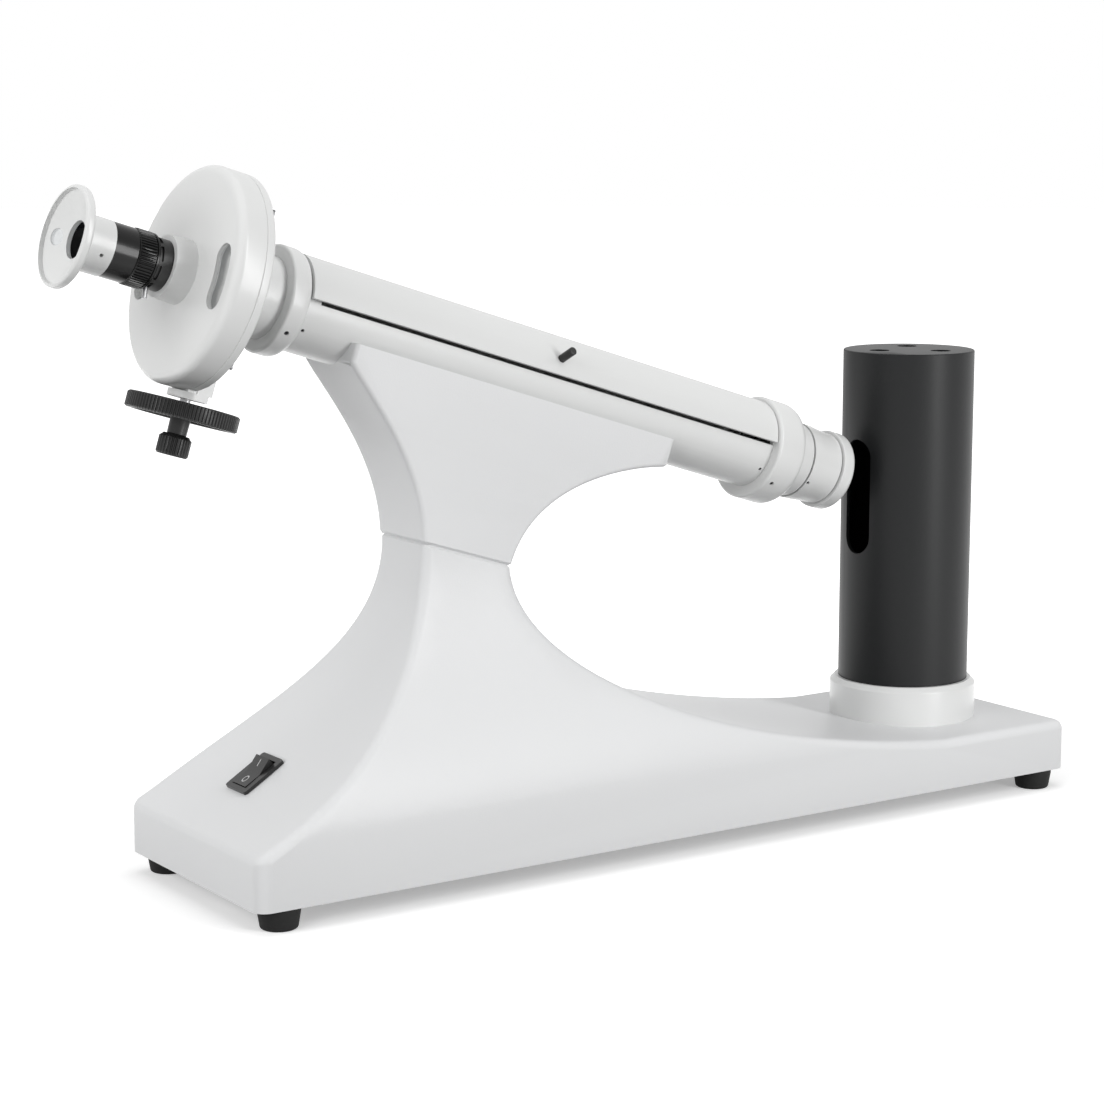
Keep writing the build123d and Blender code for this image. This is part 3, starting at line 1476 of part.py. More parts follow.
with BuildPart() as lamp_socket:
    turn_upright(
        lamp_base,
        (0, lamp_seat),
        (socket_flange - fit, lamp_seat),
        (socket_flange - fit, lamp_seat + socket_plate),
        (socket_radius, lamp_seat + socket_plate),
        (socket_radius, socket_top),
        (bulb_cap_radius + fit, socket_top),
        (bulb_cap_radius + fit, socket_top - bulb_cap_depth),
        (0, socket_top - bulb_cap_depth),
    )
save(lamp_socket.part, "lamp_socket")

with BuildPart() as lamp_bulb:
    with BuildSketch(Plane(origin=lamp_base, x_dir=(1, 0, 0), z_dir=(0, -1, 0))) as bulb_profile:
        with BuildLine():
            Line((0, socket_top - bulb_cap_depth), (bulb_cap_radius, socket_top - bulb_cap_depth))
            Line((bulb_cap_radius, socket_top - bulb_cap_depth), (bulb_cap_radius, socket_top + play))
            Line((bulb_cap_radius, socket_top + play), (bulb_radius, socket_top + bulb_radius))
            Line((bulb_radius, socket_top + bulb_radius), (bulb_radius, bulb_top - bulb_radius))
            RadiusArc((bulb_radius, bulb_top - bulb_radius), (0, bulb_top), -bulb_radius)
            Line((0, bulb_top), (0, socket_top - bulb_cap_depth))
        make_face()
    revolve(axis=Axis(lamp_base, (0, 0, 1)))
save(lamp_bulb.part, "lamp_bulb")

with BuildPart() as lamp_housing:
    turn_upright(
        lamp_base,
        (housing_bore, lamp_bottom),
        (lamp_radius, lamp_bottom),
        (lamp_radius, lamp_top),
        (0, lamp_top),
        (0, lamp_top - lamp_wall),
        (housing_bore, lamp_top - lamp_wall),
    )
    fillet(lamp_housing.edges().filter_by(GeomType.CIRCLE).group_by(SortBy.RADIUS)[-1].sort_by(Axis.Z)[-1], lamp_rounding)
    with BuildSketch(Plane((lamp_x, 0, lamp_top))):
        with PolarLocations(vent_circle, 3, start_angle=vent_turn):
            Circle(vent_radius)
    extrude(amount=-lamp_wall, mode=Mode.SUBTRACT)
    with BuildSketch(Plane(origin=(lamp_x, 0, (slot_bottom + slot_top) / 2), x_dir=(0, 0, 1), z_dir=(-1, 0, 0))):
        SlotOverall(slot_top - slot_bottom, slot_width)
    extrude(amount=lamp_radius + overrun, mode=Mode.SUBTRACT)
save(lamp_housing.part, "lamp_housing")
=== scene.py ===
import json
from math import atan2, cos, pi, radians, sin

import bmesh
import bpy
from mathutils import Matrix, Vector
from mathutils.bvhtree import BVHTree


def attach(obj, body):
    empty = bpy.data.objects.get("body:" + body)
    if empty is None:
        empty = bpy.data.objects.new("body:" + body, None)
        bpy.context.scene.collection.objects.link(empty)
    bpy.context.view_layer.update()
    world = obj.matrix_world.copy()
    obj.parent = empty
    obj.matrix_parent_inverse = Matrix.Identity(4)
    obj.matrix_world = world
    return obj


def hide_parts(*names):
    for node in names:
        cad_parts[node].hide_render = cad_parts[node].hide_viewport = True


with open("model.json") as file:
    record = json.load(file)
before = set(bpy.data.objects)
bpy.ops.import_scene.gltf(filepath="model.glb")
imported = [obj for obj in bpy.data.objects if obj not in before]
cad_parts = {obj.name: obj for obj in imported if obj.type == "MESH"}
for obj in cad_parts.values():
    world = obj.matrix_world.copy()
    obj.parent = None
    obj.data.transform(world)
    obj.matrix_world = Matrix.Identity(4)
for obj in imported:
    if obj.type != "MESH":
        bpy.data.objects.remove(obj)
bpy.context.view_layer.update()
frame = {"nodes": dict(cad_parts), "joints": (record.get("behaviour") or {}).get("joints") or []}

nodes = frame["nodes"]
mm = 0.001

# The tube's own frame, read from the joints: stations run along it, heights stand square to it
jointOf = {joint["name"]: joint for joint in frame["joints"]}
tubeAxis = Vector(jointOf["dial_turn"]["axis"]).normalized()
tubeUp = Vector(jointOf["handwheel_turn"]["axis"]).normalized()
tubeAcross = Vector((0, 1, 0))
dialOrigin = Vector(jointOf["dial_turn"]["pos_m"])
dialStation = -178.0
tubeOrigin = dialOrigin - tubeAxis * dialStation * mm


# Point and frame on the tube, in millimetres along it and square up from it
def tubePoint(station, height=0.0):
    return tubeOrigin + (tubeAxis * station + tubeUp * height) * mm


def tubeFrame(station):
    place = Matrix((tubeAcross, tubeUp, tubeAxis)).transposed().to_4x4()
    place.translation = tubePoint(station)
    return place


# A frame whose Z points away from the tube's axis, at an angle above the near side
def radialFrame(station, angle, radius):
    facing = -tubeAcross * cos(radians(angle)) + tubeUp * sin(radians(angle))
    sideways = facing.cross(tubeAxis)
    place = Matrix((tubeAxis, -sideways, facing)).transposed().to_4x4()
    place.translation = tubePoint(station) + facing * radius * mm
    return place


# Shader maths: a socket with operators, and a finish that makes nodes
class Wire:
    def __init__(self, finish, socket):
        self.finish = finish
        self.socket = socket

    def maths(self, operation, other):
        return self.finish.node("ShaderNodeMath", {"operation": operation}, {0: self, 1: other})

    def __add__(self, other):
        return self.maths("ADD", other)

    def __radd__(self, other):
        return self.maths("ADD", other)

    def __mul__(self, other):
        return self.maths("MULTIPLY", other)

    def __gt__(self, other):
        return self.maths("GREATER_THAN", other)


# Places of the colour sockets in a mix node, where those for plain values have the same names
mixSockets = {"factor": 0, "first": 6, "second": 7, "result": 2}


class Finish:
    def __init__(self, name):
        self.material = bpy.data.materials.new(name)
        self.material.use_nodes = True
        self.nodes = self.material.node_tree.nodes
        self.links = self.material.node_tree.links
        self.nodes.clear()
        self.output = self.nodes.new("ShaderNodeOutputMaterial")

    def node(self, kind, settings=None, inputs=None, output=0):
        made = self.nodes.new(kind)
        for key, value in (settings or {}).items():
            setattr(made, key, value)
        for key, value in (inputs or {}).items():
            self.plug(made.inputs[key], value)
        return Wire(self, made.outputs[output])

    def plug(self, socket, value):
        if isinstance(value, Wire):
            self.links.new(value.socket, socket)
        else:
            socket.default_value = value

    def coordinates(self):
        return self.node("ShaderNodeTexCoord", output="Object")

    def noise(self, scale, detail=2.0, roughness=0.5, vector=None):
        return self.node(
            "ShaderNodeTexNoise",
            inputs={
                "Vector": vector or self.coordinates(),
                "Scale": scale,
                "Detail": detail,
                "Roughness": roughness,
            },
        )

    def bump(self, height, strength, distance):
        return self.node(
            "ShaderNodeBump", inputs={"Height": height, "Strength": strength, "Distance": distance}
        )

    def mixColour(self, factor, first, second):
        made = self.nodes.new("ShaderNodeMix")
        made.data_type = "RGBA"
        self.plug(made.inputs[mixSockets["factor"]], factor)
        self.plug(made.inputs[mixSockets["first"]], first)
        self.plug(made.inputs[mixSockets["second"]], second)
        return Wire(self, made.outputs[mixSockets["result"]])

    def close(self, inputs):
        shader = self.node("ShaderNodeBsdfPrincipled", inputs=inputs)
        self.links.new(shader.socket, self.output.inputs["Surface"])
        return self.material


def grey(level):
    return (level, level, level, 1.0)


# Powder coat of the castings: a pale grey with the fine orange peel of baked texture paint
enamelLook = {
    "colour": (0.70, 0.705, 0.71, 1),
    "shade": (0.655, 0.66, 0.667, 1),
    "grainScale": 1500.0,
    "grainDepth": 0.00009,
    "grainStrength": 0.55,
    "grainTint": 0.25,
    "cloudScale": 9.0,
    "cloudTint": 0.5,
    "roughness": 0.42,
    "uneven": 0.06,
    "coat": 0.12,
    "coatRoughness": 0.3,
}


def castingEnamel():
    finish = Finish("castingEnamel")
    grain = finish.noise(enamelLook["grainScale"], detail=2.0, roughness=0.55)
    cloud = finish.noise(enamelLook["cloudScale"], detail=3.0)
    tint = cloud * enamelLook["cloudTint"] + grain * enamelLook["grainTint"]
    return finish.close(
        {
            "Base Color": finish.mixColour(tint, enamelLook["colour"], enamelLook["shade"]),
            "Roughness": enamelLook["roughness"] + cloud * enamelLook["uneven"],
            "Coat Weight": enamelLook["coat"],
            "Coat Roughness": enamelLook["coatRoughness"],
            "Normal": finish.bump(grain, enamelLook["grainStrength"], enamelLook["grainDepth"]),
        }
    )


# Smooth sprayed enamel of the tube, rings and dial housing
satinLook = {
    "colour": (0.70, 0.705, 0.70, 1),
    "shade": (0.66, 0.665, 0.66, 1),
    "peelScale": 420.0,
    "peelDepth": 0.00003,
    "peelStrength": 0.3,
    "cloudScale": 14.0,
    "roughness": 0.3,
    "uneven": 0.08,
    "coat": 0.2,
    "coatRoughness": 0.18,
}


def satinEnamel():
    finish = Finish("satinEnamel")
    peel = finish.noise(satinLook["peelScale"], detail=1.0, roughness=0.4)
    cloud = finish.noise(satinLook["cloudScale"], detail=2.0)
    return finish.close(
        {
            "Base Color": finish.mixColour(cloud, satinLook["colour"], satinLook["shade"]),
            "Roughness": satinLook["roughness"] + peel * satinLook["uneven"],
            "Coat Weight": satinLook["coat"],
            "Coat Roughness": satinLook["coatRoughness"],
            "Normal": finish.bump(peel, satinLook["peelStrength"], satinLook["peelDepth"]),
        }
    )


# Satin black coat of the lamp tube, with the faint grain of drawn aluminium
lampLook = {
    "colour": (0.005, 0.0055, 0.006, 1),
    "worn": (0.008, 0.0085, 0.009, 1),
    "streaks": (900.0, 900.0, 25.0),
    "speckScale": 2600.0,
    "roughness": 0.4,
    "uneven": 0.06,
    "mirror": 0.26,
    "grainStrength": 0.25,
    "grainDepth": 0.00002,
}


def lampBlack():
    finish = Finish("lampBlack")
    stretched = finish.node(
        "ShaderNodeMapping", inputs={"Vector": finish.coordinates(), "Scale": lampLook["streaks"]}
    )
    grain = finish.noise(1.0, detail=3.0, roughness=0.6, vector=stretched)
    speck = finish.noise(lampLook["speckScale"], detail=1.0)
    relief = grain * 0.5 + speck * 0.5
    return finish.close(
        {
            "Base Color": finish.mixColour(speck, lampLook["colour"], lampLook["worn"]),
            "Roughness": lampLook["roughness"] + grain * lampLook["uneven"],
            "Specular IOR Level": lampLook["mirror"],
            "Normal": finish.bump(relief, lampLook["grainStrength"], lampLook["grainDepth"]),
        }
    )


# Moulded plastic of the wheels, the barrel and the switch: matt black with a fine grain
mouldedLook = {
    "grainScale": 1800.0,
    "grainDepth": 0.00003,
    "grainStrength": 0.35,
    "paler": 1.7,
    "uneven": 0.12,
    "mirror": 0.42,
}


def mouldedBlack(name, roughness, level):
    finish = Finish(name)
    grain = finish.noise(mouldedLook["grainScale"], detail=2.0, roughness=0.6)
    return finish.close(
        {
            "Base Color": finish.mixColour(grain, grey(level), grey(level * mouldedLook["paler"])),
            "Roughness": roughness + grain * mouldedLook["uneven"],
            "Specular IOR Level": mouldedLook["mirror"],
            "Normal": finish.bump(grain, mouldedLook["grainStrength"], mouldedLook["grainDepth"]),
        }
    )


# Polished black of the sliding eyepiece and its knurled ring
polishedLook = {
    "level": 0.008,
    "smearScale": 60.0,
    "smearDepth": 0.0001,
    "smearStrength": 0.05,
    "roughness": 0.12,
    "uneven": 0.1,
    "mirror": 0.18,
    "coat": 0.06,
    "coatRoughness": 0.06,
}


def polishedBlack():
    finish = Finish("polishedBlack")
    smear = finish.noise(polishedLook["smearScale"], detail=3.0)
    return finish.close(
        {
            "Base Color": grey(polishedLook["level"]),
            "Roughness": polishedLook["roughness"] + smear * polishedLook["uneven"],
            "Specular IOR Level": polishedLook["mirror"],
            "Coat Weight": polishedLook["coat"],
            "Coat Roughness": polishedLook["coatRoughness"],
            "Normal": finish.bump(smear, polishedLook["smearStrength"], polishedLook["smearDepth"]),
        }
    )


# Dusty black rubber of the feet
rubberLook = {
    "level": 0.010,
    "dusty": 0.022,
    "grainScale": 700.0,
    "grainDepth": 0.00006,
    "grainStrength": 0.4,
    "dustScale": 40.0,
    "roughness": 0.66,
    "uneven": 0.2,
    "mirror": 0.25,
}


def footRubber():
    finish = Finish("footRubber")
    grain = finish.noise(rubberLook["grainScale"], detail=4.0, roughness=0.7)
    dust = finish.noise(rubberLook["dustScale"], detail=3.0)
    return finish.close(
        {
            "Base Color": finish.mixColour(dust, grey(rubberLook["level"]), grey(rubberLook["dusty"])),
            "Roughness": rubberLook["roughness"] + grain * rubberLook["uneven"],
            "Specular IOR Level": rubberLook["mirror"],
            "Normal": finish.bump(grain, rubberLook["grainStrength"], rubberLook["grainDepth"]),
        }
    )


# Metals share their marks and stains, and differ in tint and in how rough they are
metalLook = {
    "markScale": 2400.0,
    "markDepth": 0.00002,
    "markStrength": 0.2,
    "stainScale": 90.0,
    "darker": 0.8,
    "uneven": 0.12,
}


def turnedMetal(name, colour, roughness):
    finish = Finish(name)
    marks = finish.noise(metalLook["markScale"], detail=2.0, roughness=0.5)
    stain = finish.noise(metalLook["stainScale"], detail=3.0)
    darker = tuple(value * metalLook["darker"] for value in colour[:3]) + (1,)
    return finish.close(
        {
            "Base Color": finish.mixColour(stain, colour, darker),
            "Metallic": 1.0,
            "Roughness": roughness + stain * metalLook["uneven"],
            "Normal": finish.bump(marks, metalLook["markStrength"], metalLook["markDepth"]),
        }
    )


# Glass of three kinds: clear through and through, thin panes that only dim a little, coated lenses
glassLook = {
    "smearScale": 120.0,
    "refraction": 1.5,
    "clear": 0.92,
    "uneven": 0.02,
    "pane": (0.7, 0.72, 0.73, 1),
    "paneRoughness": 0.04,
    "paneUneven": 0.04,
    "paneSmear": 0.05,
    "lens": (0.10, 0.115, 0.125, 1),
    "lensRoughness": 0.05,
    "lensUneven": 0.04,
    "lensCoat": 0.8,
    "lensCoatRoughness": 0.03,
}


def clearGlass(name, colour, roughness=0.02):
    finish = Finish(name)
    smear = finish.noise(glassLook["smearScale"], detail=2.0)
    return finish.close(
        {
            "Base Color": colour,
            "Roughness": roughness + smear * glassLook["uneven"],
            "IOR": glassLook["refraction"],
            "Transmission Weight": glassLook["clear"],
        }
    )


def thinPane(name, cover):
    finish = Finish(name)
    smear = finish.noise(glassLook["smearScale"], detail=2.0)
    return finish.close(
        {
            "Base Color": glassLook["pane"],
            "Roughness": glassLook["paneRoughness"] + smear * glassLook["paneUneven"],
            "Alpha": cover + smear * glassLook["paneSmear"],
        }
    )


def coatedLens():
    finish = Finish("coatedLens")
    smear = finish.noise(glassLook["smearScale"], detail=2.0)
    return finish.close(
        {
            "Base Color": glassLook["lens"],
            "Roughness": glassLook["lensRoughness"] + smear * glassLook["lensUneven"],
            "Coat Weight": glassLook["lensCoat"],
            "Coat Roughness": glassLook["lensCoatRoughness"],
        }
    )


# The silvered face of the dial and the verniers
scaleLook = {
    "colour": (0.78, 0.78, 0.76, 1),
    "shade": (0.72, 0.72, 0.70, 1),
    "grainScale": 1500.0,
    "grainDepth": 0.00002,
    "grainStrength": 0.15,
    "metal": 0.2,
    "roughness": 0.42,
    "uneven": 0.08,
}


def silveredScale():
    finish = Finish("silveredScale")
    grain = finish.noise(scaleLook["grainScale"], detail=2.0)
    return finish.close(
        {
            "Base Color": finish.mixColour(grain, scaleLook["colour"], scaleLook["shade"]),
            "Metallic": scaleLook["metal"],
            "Roughness": scaleLook["roughness"] + grain * scaleLook["uneven"],
            "Normal": finish.bump(grain, scaleLook["grainStrength"], scaleLook["grainDepth"]),
        }
    )


# Painted steel of the cover under the base
sheetLook = {
    "colour": (0.55, 0.555, 0.56, 1),
    "shade": (0.50, 0.505, 0.51, 1),
    "peelScale": 500.0,
    "peelDepth": 0.00005,
    "peelStrength": 0.3,
    "roughness": 0.45,
    "uneven": 0.1,
}


def paintedSheet():
    finish = Finish("paintedSheet")
    peel = finish.noise(sheetLook["peelScale"], detail=2.0)
    return finish.close(
        {
            "Base Color": finish.mixColour(peel, sheetLook["colour"], sheetLook["shade"]),
            "Roughness": sheetLook["roughness"] + peel * sheetLook["uneven"],
            "Normal": finish.bump(peel, sheetLook["peelStrength"], sheetLook["peelDepth"]),
        }
    )


# Varnished circuit board, its tracks a paler green
boardLook = {
    "colour": (0.01, 0.10, 0.04, 1),
    "track": (0.03, 0.19, 0.08, 1),
    "trackScale": 160.0,
    "trackAbove": 0.52,
    "roughness": 0.3,
    "uneven": 0.1,
    "coat": 0.4,
}


def circuitGreen():
    finish = Finish("circuitGreen")
    tracks = finish.noise(boardLook["trackScale"], detail=5.0, roughness=0.7)
    onTrack = tracks > boardLook["trackAbove"]
    return finish.close(
        {
            "Base Color": finish.mixColour(onTrack, boardLook["colour"], boardLook["track"]),
            "Roughness": boardLook["roughness"] + tracks * boardLook["uneven"],
            "Coat Weight": boardLook["coat"],
        }
    )


# Glazed ceramic of the lamp socket
ceramicLook = {
    "colour": (0.78, 0.76, 0.70, 1),
    "shade": (0.70, 0.68, 0.62, 1),
    "cloudScale": 70.0,
    "cloudDepth": 0.0001,
    "cloudStrength": 0.1,
    "roughness": 0.15,
    "uneven": 0.1,
}


def glazedCeramic():
    finish = Finish("glazedCeramic")
    cloud = finish.noise(ceramicLook["cloudScale"], detail=3.0)
    return finish.close(
        {
            "Base Color": finish.mixColour(cloud, ceramicLook["colour"], ceramicLook["shade"]),
            "Roughness": ceramicLook["roughness"] + cloud * ceramicLook["uneven"],
            "Normal": finish.bump(cloud, ceramicLook["cloudStrength"], ceramicLook["cloudDepth"]),
        }
    )


# Printed lines, numbers and marks, a little worn
inkLook = {"wearScale": 900.0, "paler": 1.8, "roughness": 0.5, "uneven": 0.15}


def printInk(name, level):
    finish = Finish(name)
    wear = finish.noise(inkLook["wearScale"], detail=3.0)
    return finish.close(
        {
            "Base Color": finish.mixColour(wear, grey(level), grey(level * inkLook["paler"])),
            "Roughness": inkLook["roughness"] + wear * inkLook["uneven"],
        }
    )


looks = {
    "casting": castingEnamel(),
    "satin": satinEnamel(),
    "lamp": lampBlack(),
    "black": mouldedBlack("mouldedBlack", 0.28, 0.007),
    "switchBlack": mouldedBlack("switchBlack", 0.24, 0.012),
    "gloss": polishedBlack(),
    "rubber": footRubber(),
    "steel": turnedMetal("turnedSteel", (0.56, 0.56, 0.57, 1), 0.28),
    "darkSteel": turnedMetal("blackenedSteel", (0.07, 0.07, 0.075, 1), 0.35),
    "brass": turnedMetal("turnedBrass", (0.72, 0.53, 0.24, 1), 0.24),
    "glass": clearGlass("clearGlass", (0.95, 0.97, 0.97, 1)),
    "pane": thinPane("clearPane", 0.12),
    "readingGlass": thinPane("readingGlass", 0.6),
    "amberGlass": clearGlass("amberGlass", (0.95, 0.62, 0.16, 1)),
    "frosted": clearGlass("frostedBulb", (0.96, 0.94, 0.88, 1), 0.3),
    "lens": coatedLens(),
    "scale": silveredScale(),
    "sheet": paintedSheet(),
    "board": circuitGreen(),
    "ceramic": glazedCeramic(),
    "ink": printInk("printInk", 0.012),
    "whiteInk": printInk("whiteInk", 0.4),
}
print("finishes made:", len(looks))

# Which finish each node wears
nodeLooks = {
    "casting": ["base_casting", "saddle_casting"],
    "satin": [
        "sample_trough", "analyser_ring", "polariser_ring", "analyser_neck", "dial_back_plate",
        "dial_cover", "pinion_housing", "eyepiece_holder", "polariser_barrel", "polariser_mount",
        "collimator_cap", "lamp_ring", "lid", "eyepiece_collar", "eyecup_plate",
    ],
    "lamp": ["lamp_housing"],
    "black": ["eyepiece_barrel", "lid_handle", "handwheel", "fine_knob", "focus_ring", "inlet_socket"],
    "switchBlack": ["switch_body", "switch_rocker"],
    "gloss": ["eyepiece_tube"],
    "rubber": ["foot_front_near", "foot_front_far", "foot_rear_near", "foot_rear_far"],
    "steel": [
        "guide_pin", "foot_screws", "saddle_bolts", "trough_screws", "hinge_rod", "drive_shaft", "pinion",
    ],
    "darkSteel": ["ring_set_screws", "dial_cover_screws"],
    "brass": ["shaft_bush", "crown_gear", "analyser_sleeve", "dial_retaining_ring"],
    "pane": ["window_panes"],
    "readingGlass": ["magnifier_lens"],
    "glass": ["chamber_windows", "half_shade_plate"],
    "frosted": ["lamp_bulb"],
    "amberGlass": ["polariser", "colour_filter", "analyser"],
    "lens": ["eyepiece_lens", "objective_lens", "collimator_lens"],
    "scale": ["dial", "verniers"],
    "sheet": ["bottom_cover"],
    "board": ["power_board"],
    "ceramic": ["lamp_socket"],
}
smoothing = {"weld": 0.000004, "angle": 32.0, "numberAngle": 20.0, "markAngle": 60.0, "join": 0.0005}


def dressNode(name, look):
    node = nodes[name]
    node.data.materials.clear()
    node.data.materials.append(looks[look])
    for face in node.data.polygons:
        face.use_smooth = True
    weld = node.modifiers.new("weld", "WELD")
    weld.merge_threshold = smoothing["weld"]
    split = node.modifiers.new("split", "EDGE_SPLIT")
    split.split_angle = radians(smoothing["angle"])


for look, names in nodeLooks.items():
    for name in names:
        dressNode(name, look)
print("nodes dressed:", sum(len(names) for names in nodeLooks.values()))

# Camera at the photograph's place: focal length in pixels of its 1104 pixel frame
view = {
    "frame": 1104.0,
    "focal": 2711.05,
    "place": (-0.76566, -1.11572, 0.36843),
    "turn": 33.95,
    "down": 9.284,
    "sensor": 36.0,
    "nearest": 0.05,
    "farthest": 50.0,
}


def placeCamera():
    lens = bpy.data.cameras.new("camera")
    lens.sensor_width = view["sensor"]
    lens.sensor_fit = "HORIZONTAL"
    lens.lens = view["sensor"] * view["focal"] / view["frame"]
    lens.clip_start = view["nearest"]
    lens.clip_end = view["farthest"]
    camera = bpy.data.objects.new("camera", lens)
    camera.location = view["place"]
    camera.rotation_euler = (radians(90 - view["down"]), 0, -radians(view["turn"]))
    bpy.context.scene.collection.objects.link(camera)
    bpy.context.scene.camera = camera


# A narrow tall soft box at the near right, which alone shows in polished faces, a weak broad one
# overhead and a large one at the eyepiece end
studio = {
    "worldLight": 0.36,
    "floorRadius": 9.0,
    "floorSteps": 96,
    "floorSeen": 0.9,
    "floorBounce": 0.3,
    "nearGlow": 0.32,
    "glowStarts": 0.3,
    "glowEnds": 0.6,
    "squash": 2.0,
    "mirrored": "tallBox",
    "lamps": {
        "tallBox": {
            "place": (0.52, -1.48, 0.62), "aim": (0.12, 0.0, 0.17), "size": (0.3, 1.6), "power": 18.5,
        },
        "overhead": {
            "place": (0.1, 0.25, 1.5), "aim": (0.05, 0.0, 0.1), "size": (1.6, 1.0), "power": 6.5,
        },
        "fill": {
            "place": (-1.7, -0.3, 0.75), "aim": (-0.1, 0.0, 0.2), "size": (1.6, 1.2), "power": 20.0,
        },
    },
}


def addLamp(name, look):
    light = bpy.data.lights.new(name, "AREA")
    light.shape = "RECTANGLE"
    light.size, light.size_y = look["size"]
    light.energy = look["power"]
    lamp = bpy.data.objects.new(name, light)
    lamp.location = look["place"]
    away = Vector(look["aim"]) - Vector(look["place"])
    lamp.rotation_euler = away.to_track_quat("-Z", "Y").to_euler()
    lamp.visible_glossy = name == studio["mirrored"]
    bpy.context.scene.collection.objects.link(lamp)


# Rays that see the background as plain white: the camera's, and those by mirror and through glass
def seenRays(tree):
    path = tree.nodes.new("ShaderNodeLightPath")
    seen = path.outputs["Is Camera Ray"]
    for ray in ("Is Glossy Ray", "Is Transmission Ray"):
        either = tree.nodes.new("ShaderNodeMath")
        either.operation = "MAXIMUM"
        tree.links.new(seen, either.inputs[0])
        tree.links.new(path.outputs[ray], either.inputs[1])
        seen = either.outputs[0]
    return seen


def lightWorld():
    world = bpy.data.worlds.new("studio")
    bpy.context.scene.world = world
    world.use_nodes = True
    tree = world.node_tree
    tree.nodes.clear()
    output = tree.nodes.new("ShaderNodeOutputWorld")
    glow = tree.nodes.new("ShaderNodeBackground")
    glow.inputs["Color"].default_value = grey(1.0)
    glow.inputs["Strength"].default_value = studio["worldLight"]
    white = tree.nodes.new("ShaderNodeBackground")
    white.inputs["Color"].default_value = grey(1.0)
    white.inputs["Strength"].default_value = 1.0
    choose = tree.nodes.new("ShaderNodeMixShader")
    tree.links.new(seenRays(tree), choose.inputs["Fac"])
    tree.links.new(glow.outputs[0], choose.inputs[1])
    tree.links.new(white.outputs[0], choose.inputs[2])
    tree.links.new(choose.outputs[0], output.inputs["Surface"])


# Round white paper, greyer to the eye near the object: its glow grows between two distances, with
# depth counted double. It throws less light up than it shows
def layFloor():
    flat = bmesh.new()
    bmesh.ops.create_circle(
        flat, cap_ends=True, segments=studio["floorSteps"], radius=studio["floorRadius"]
    )
    mesh = bpy.data.meshes.new("floor")
    flat.to_mesh(mesh)
    flat.free()
    floor = bpy.data.objects.new("floor", mesh)
    bpy.context.scene.collection.objects.link(floor)
    finish = Finish("floorPaper")
    flatPlace = finish.node(
        "ShaderNodeMapping", inputs={"Vector": finish.coordinates(), "Scale": (1.0, studio["squash"], 0.0)}
    )
    away = finish.node("ShaderNodeVectorMath", {"operation": "LENGTH"}, {0: flatPlace}, output=1)
    glowHere = finish.node(
        "ShaderNodeMapRange",
        {"interpolation_type": "SMOOTHSTEP"},
        {
            "Value": away,
            "From Min": studio["glowStarts"],
            "From Max": studio["glowEnds"],
            "To Min": studio["nearGlow"],
            "To Max": 1.0,
        },
    )
    bouncing = finish.node("ShaderNodeBsdfDiffuse", inputs={"Color": grey(studio["floorBounce"])})
    paper = finish.node("ShaderNodeBsdfDiffuse", inputs={"Color": grey(studio["floorSeen"])})
    glow = finish.node("ShaderNodeEmission", inputs={"Color": grey(1.0), "Strength": glowHere})
    bright = finish.node("ShaderNodeAddShader", inputs={0: paper, 1: glow})
    seen = Wire(finish, seenRays(finish.material.node_tree))
    chosen = finish.node("ShaderNodeMixShader", inputs={"Fac": seen, 1: bouncing, 2: bright})
    finish.links.new(chosen.socket, finish.output.inputs["Surface"])
    floor.data.materials.append(finish.material)


placeCamera()
for name, look in studio["lamps"].items():
    addLamp(name, look)
lightWorld()
layFloor()
bpy.context.scene.view_settings.view_transform = "Standard"
print("camera, lights and floor set")


# A new piece from a form drawn in millimetres: joined, placed, dressed, and put on its body
def addPiece(name, form, place, look, body, stands=(), sharp=smoothing["angle"]):
    bmesh.ops.remove_doubles(form, verts=form.verts, dist=smoothing["join"])
    form.transform(place @ Matrix.Scale(mm, 4))
    bmesh.ops.recalc_face_normals(form, faces=form.faces)
    mesh = bpy.data.meshes.new(name)
    form.to_mesh(mesh)
    form.free()
    for face in mesh.polygons:
        face.use_smooth = True
    mesh.set_sharp_from_angle(angle=radians(sharp))
    mesh.materials.append(looks[look])
    piece = bpy.data.objects.new(name, mesh)
    bpy.context.scene.collection.objects.link(piece)
    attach(piece, body)
    if stands:
        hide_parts(*stands)


# Turn a closed outline of (radius, height) points about Z
def lathe(form, outline, steps):
    corners = [form.verts.new((radius, 0.0, height)) for radius, height in outline]
    edges = [form.edges.new(pair) for pair in zip(corners, corners[1:] + corners[:1])]
    bmesh.ops.spin(
        form, geom=corners + edges, cent=(0, 0, 0), axis=(0, 0, 1), dvec=(0, 0, 0),
        angle=2 * pi, steps=steps, use_merge=True, use_duplicate=False,
    )


# Turn a closed outline of (radius, height, groove depth) points. Of the corners for each rib, half
# lie on its crest and half in the groove
cornersPerRib = 4


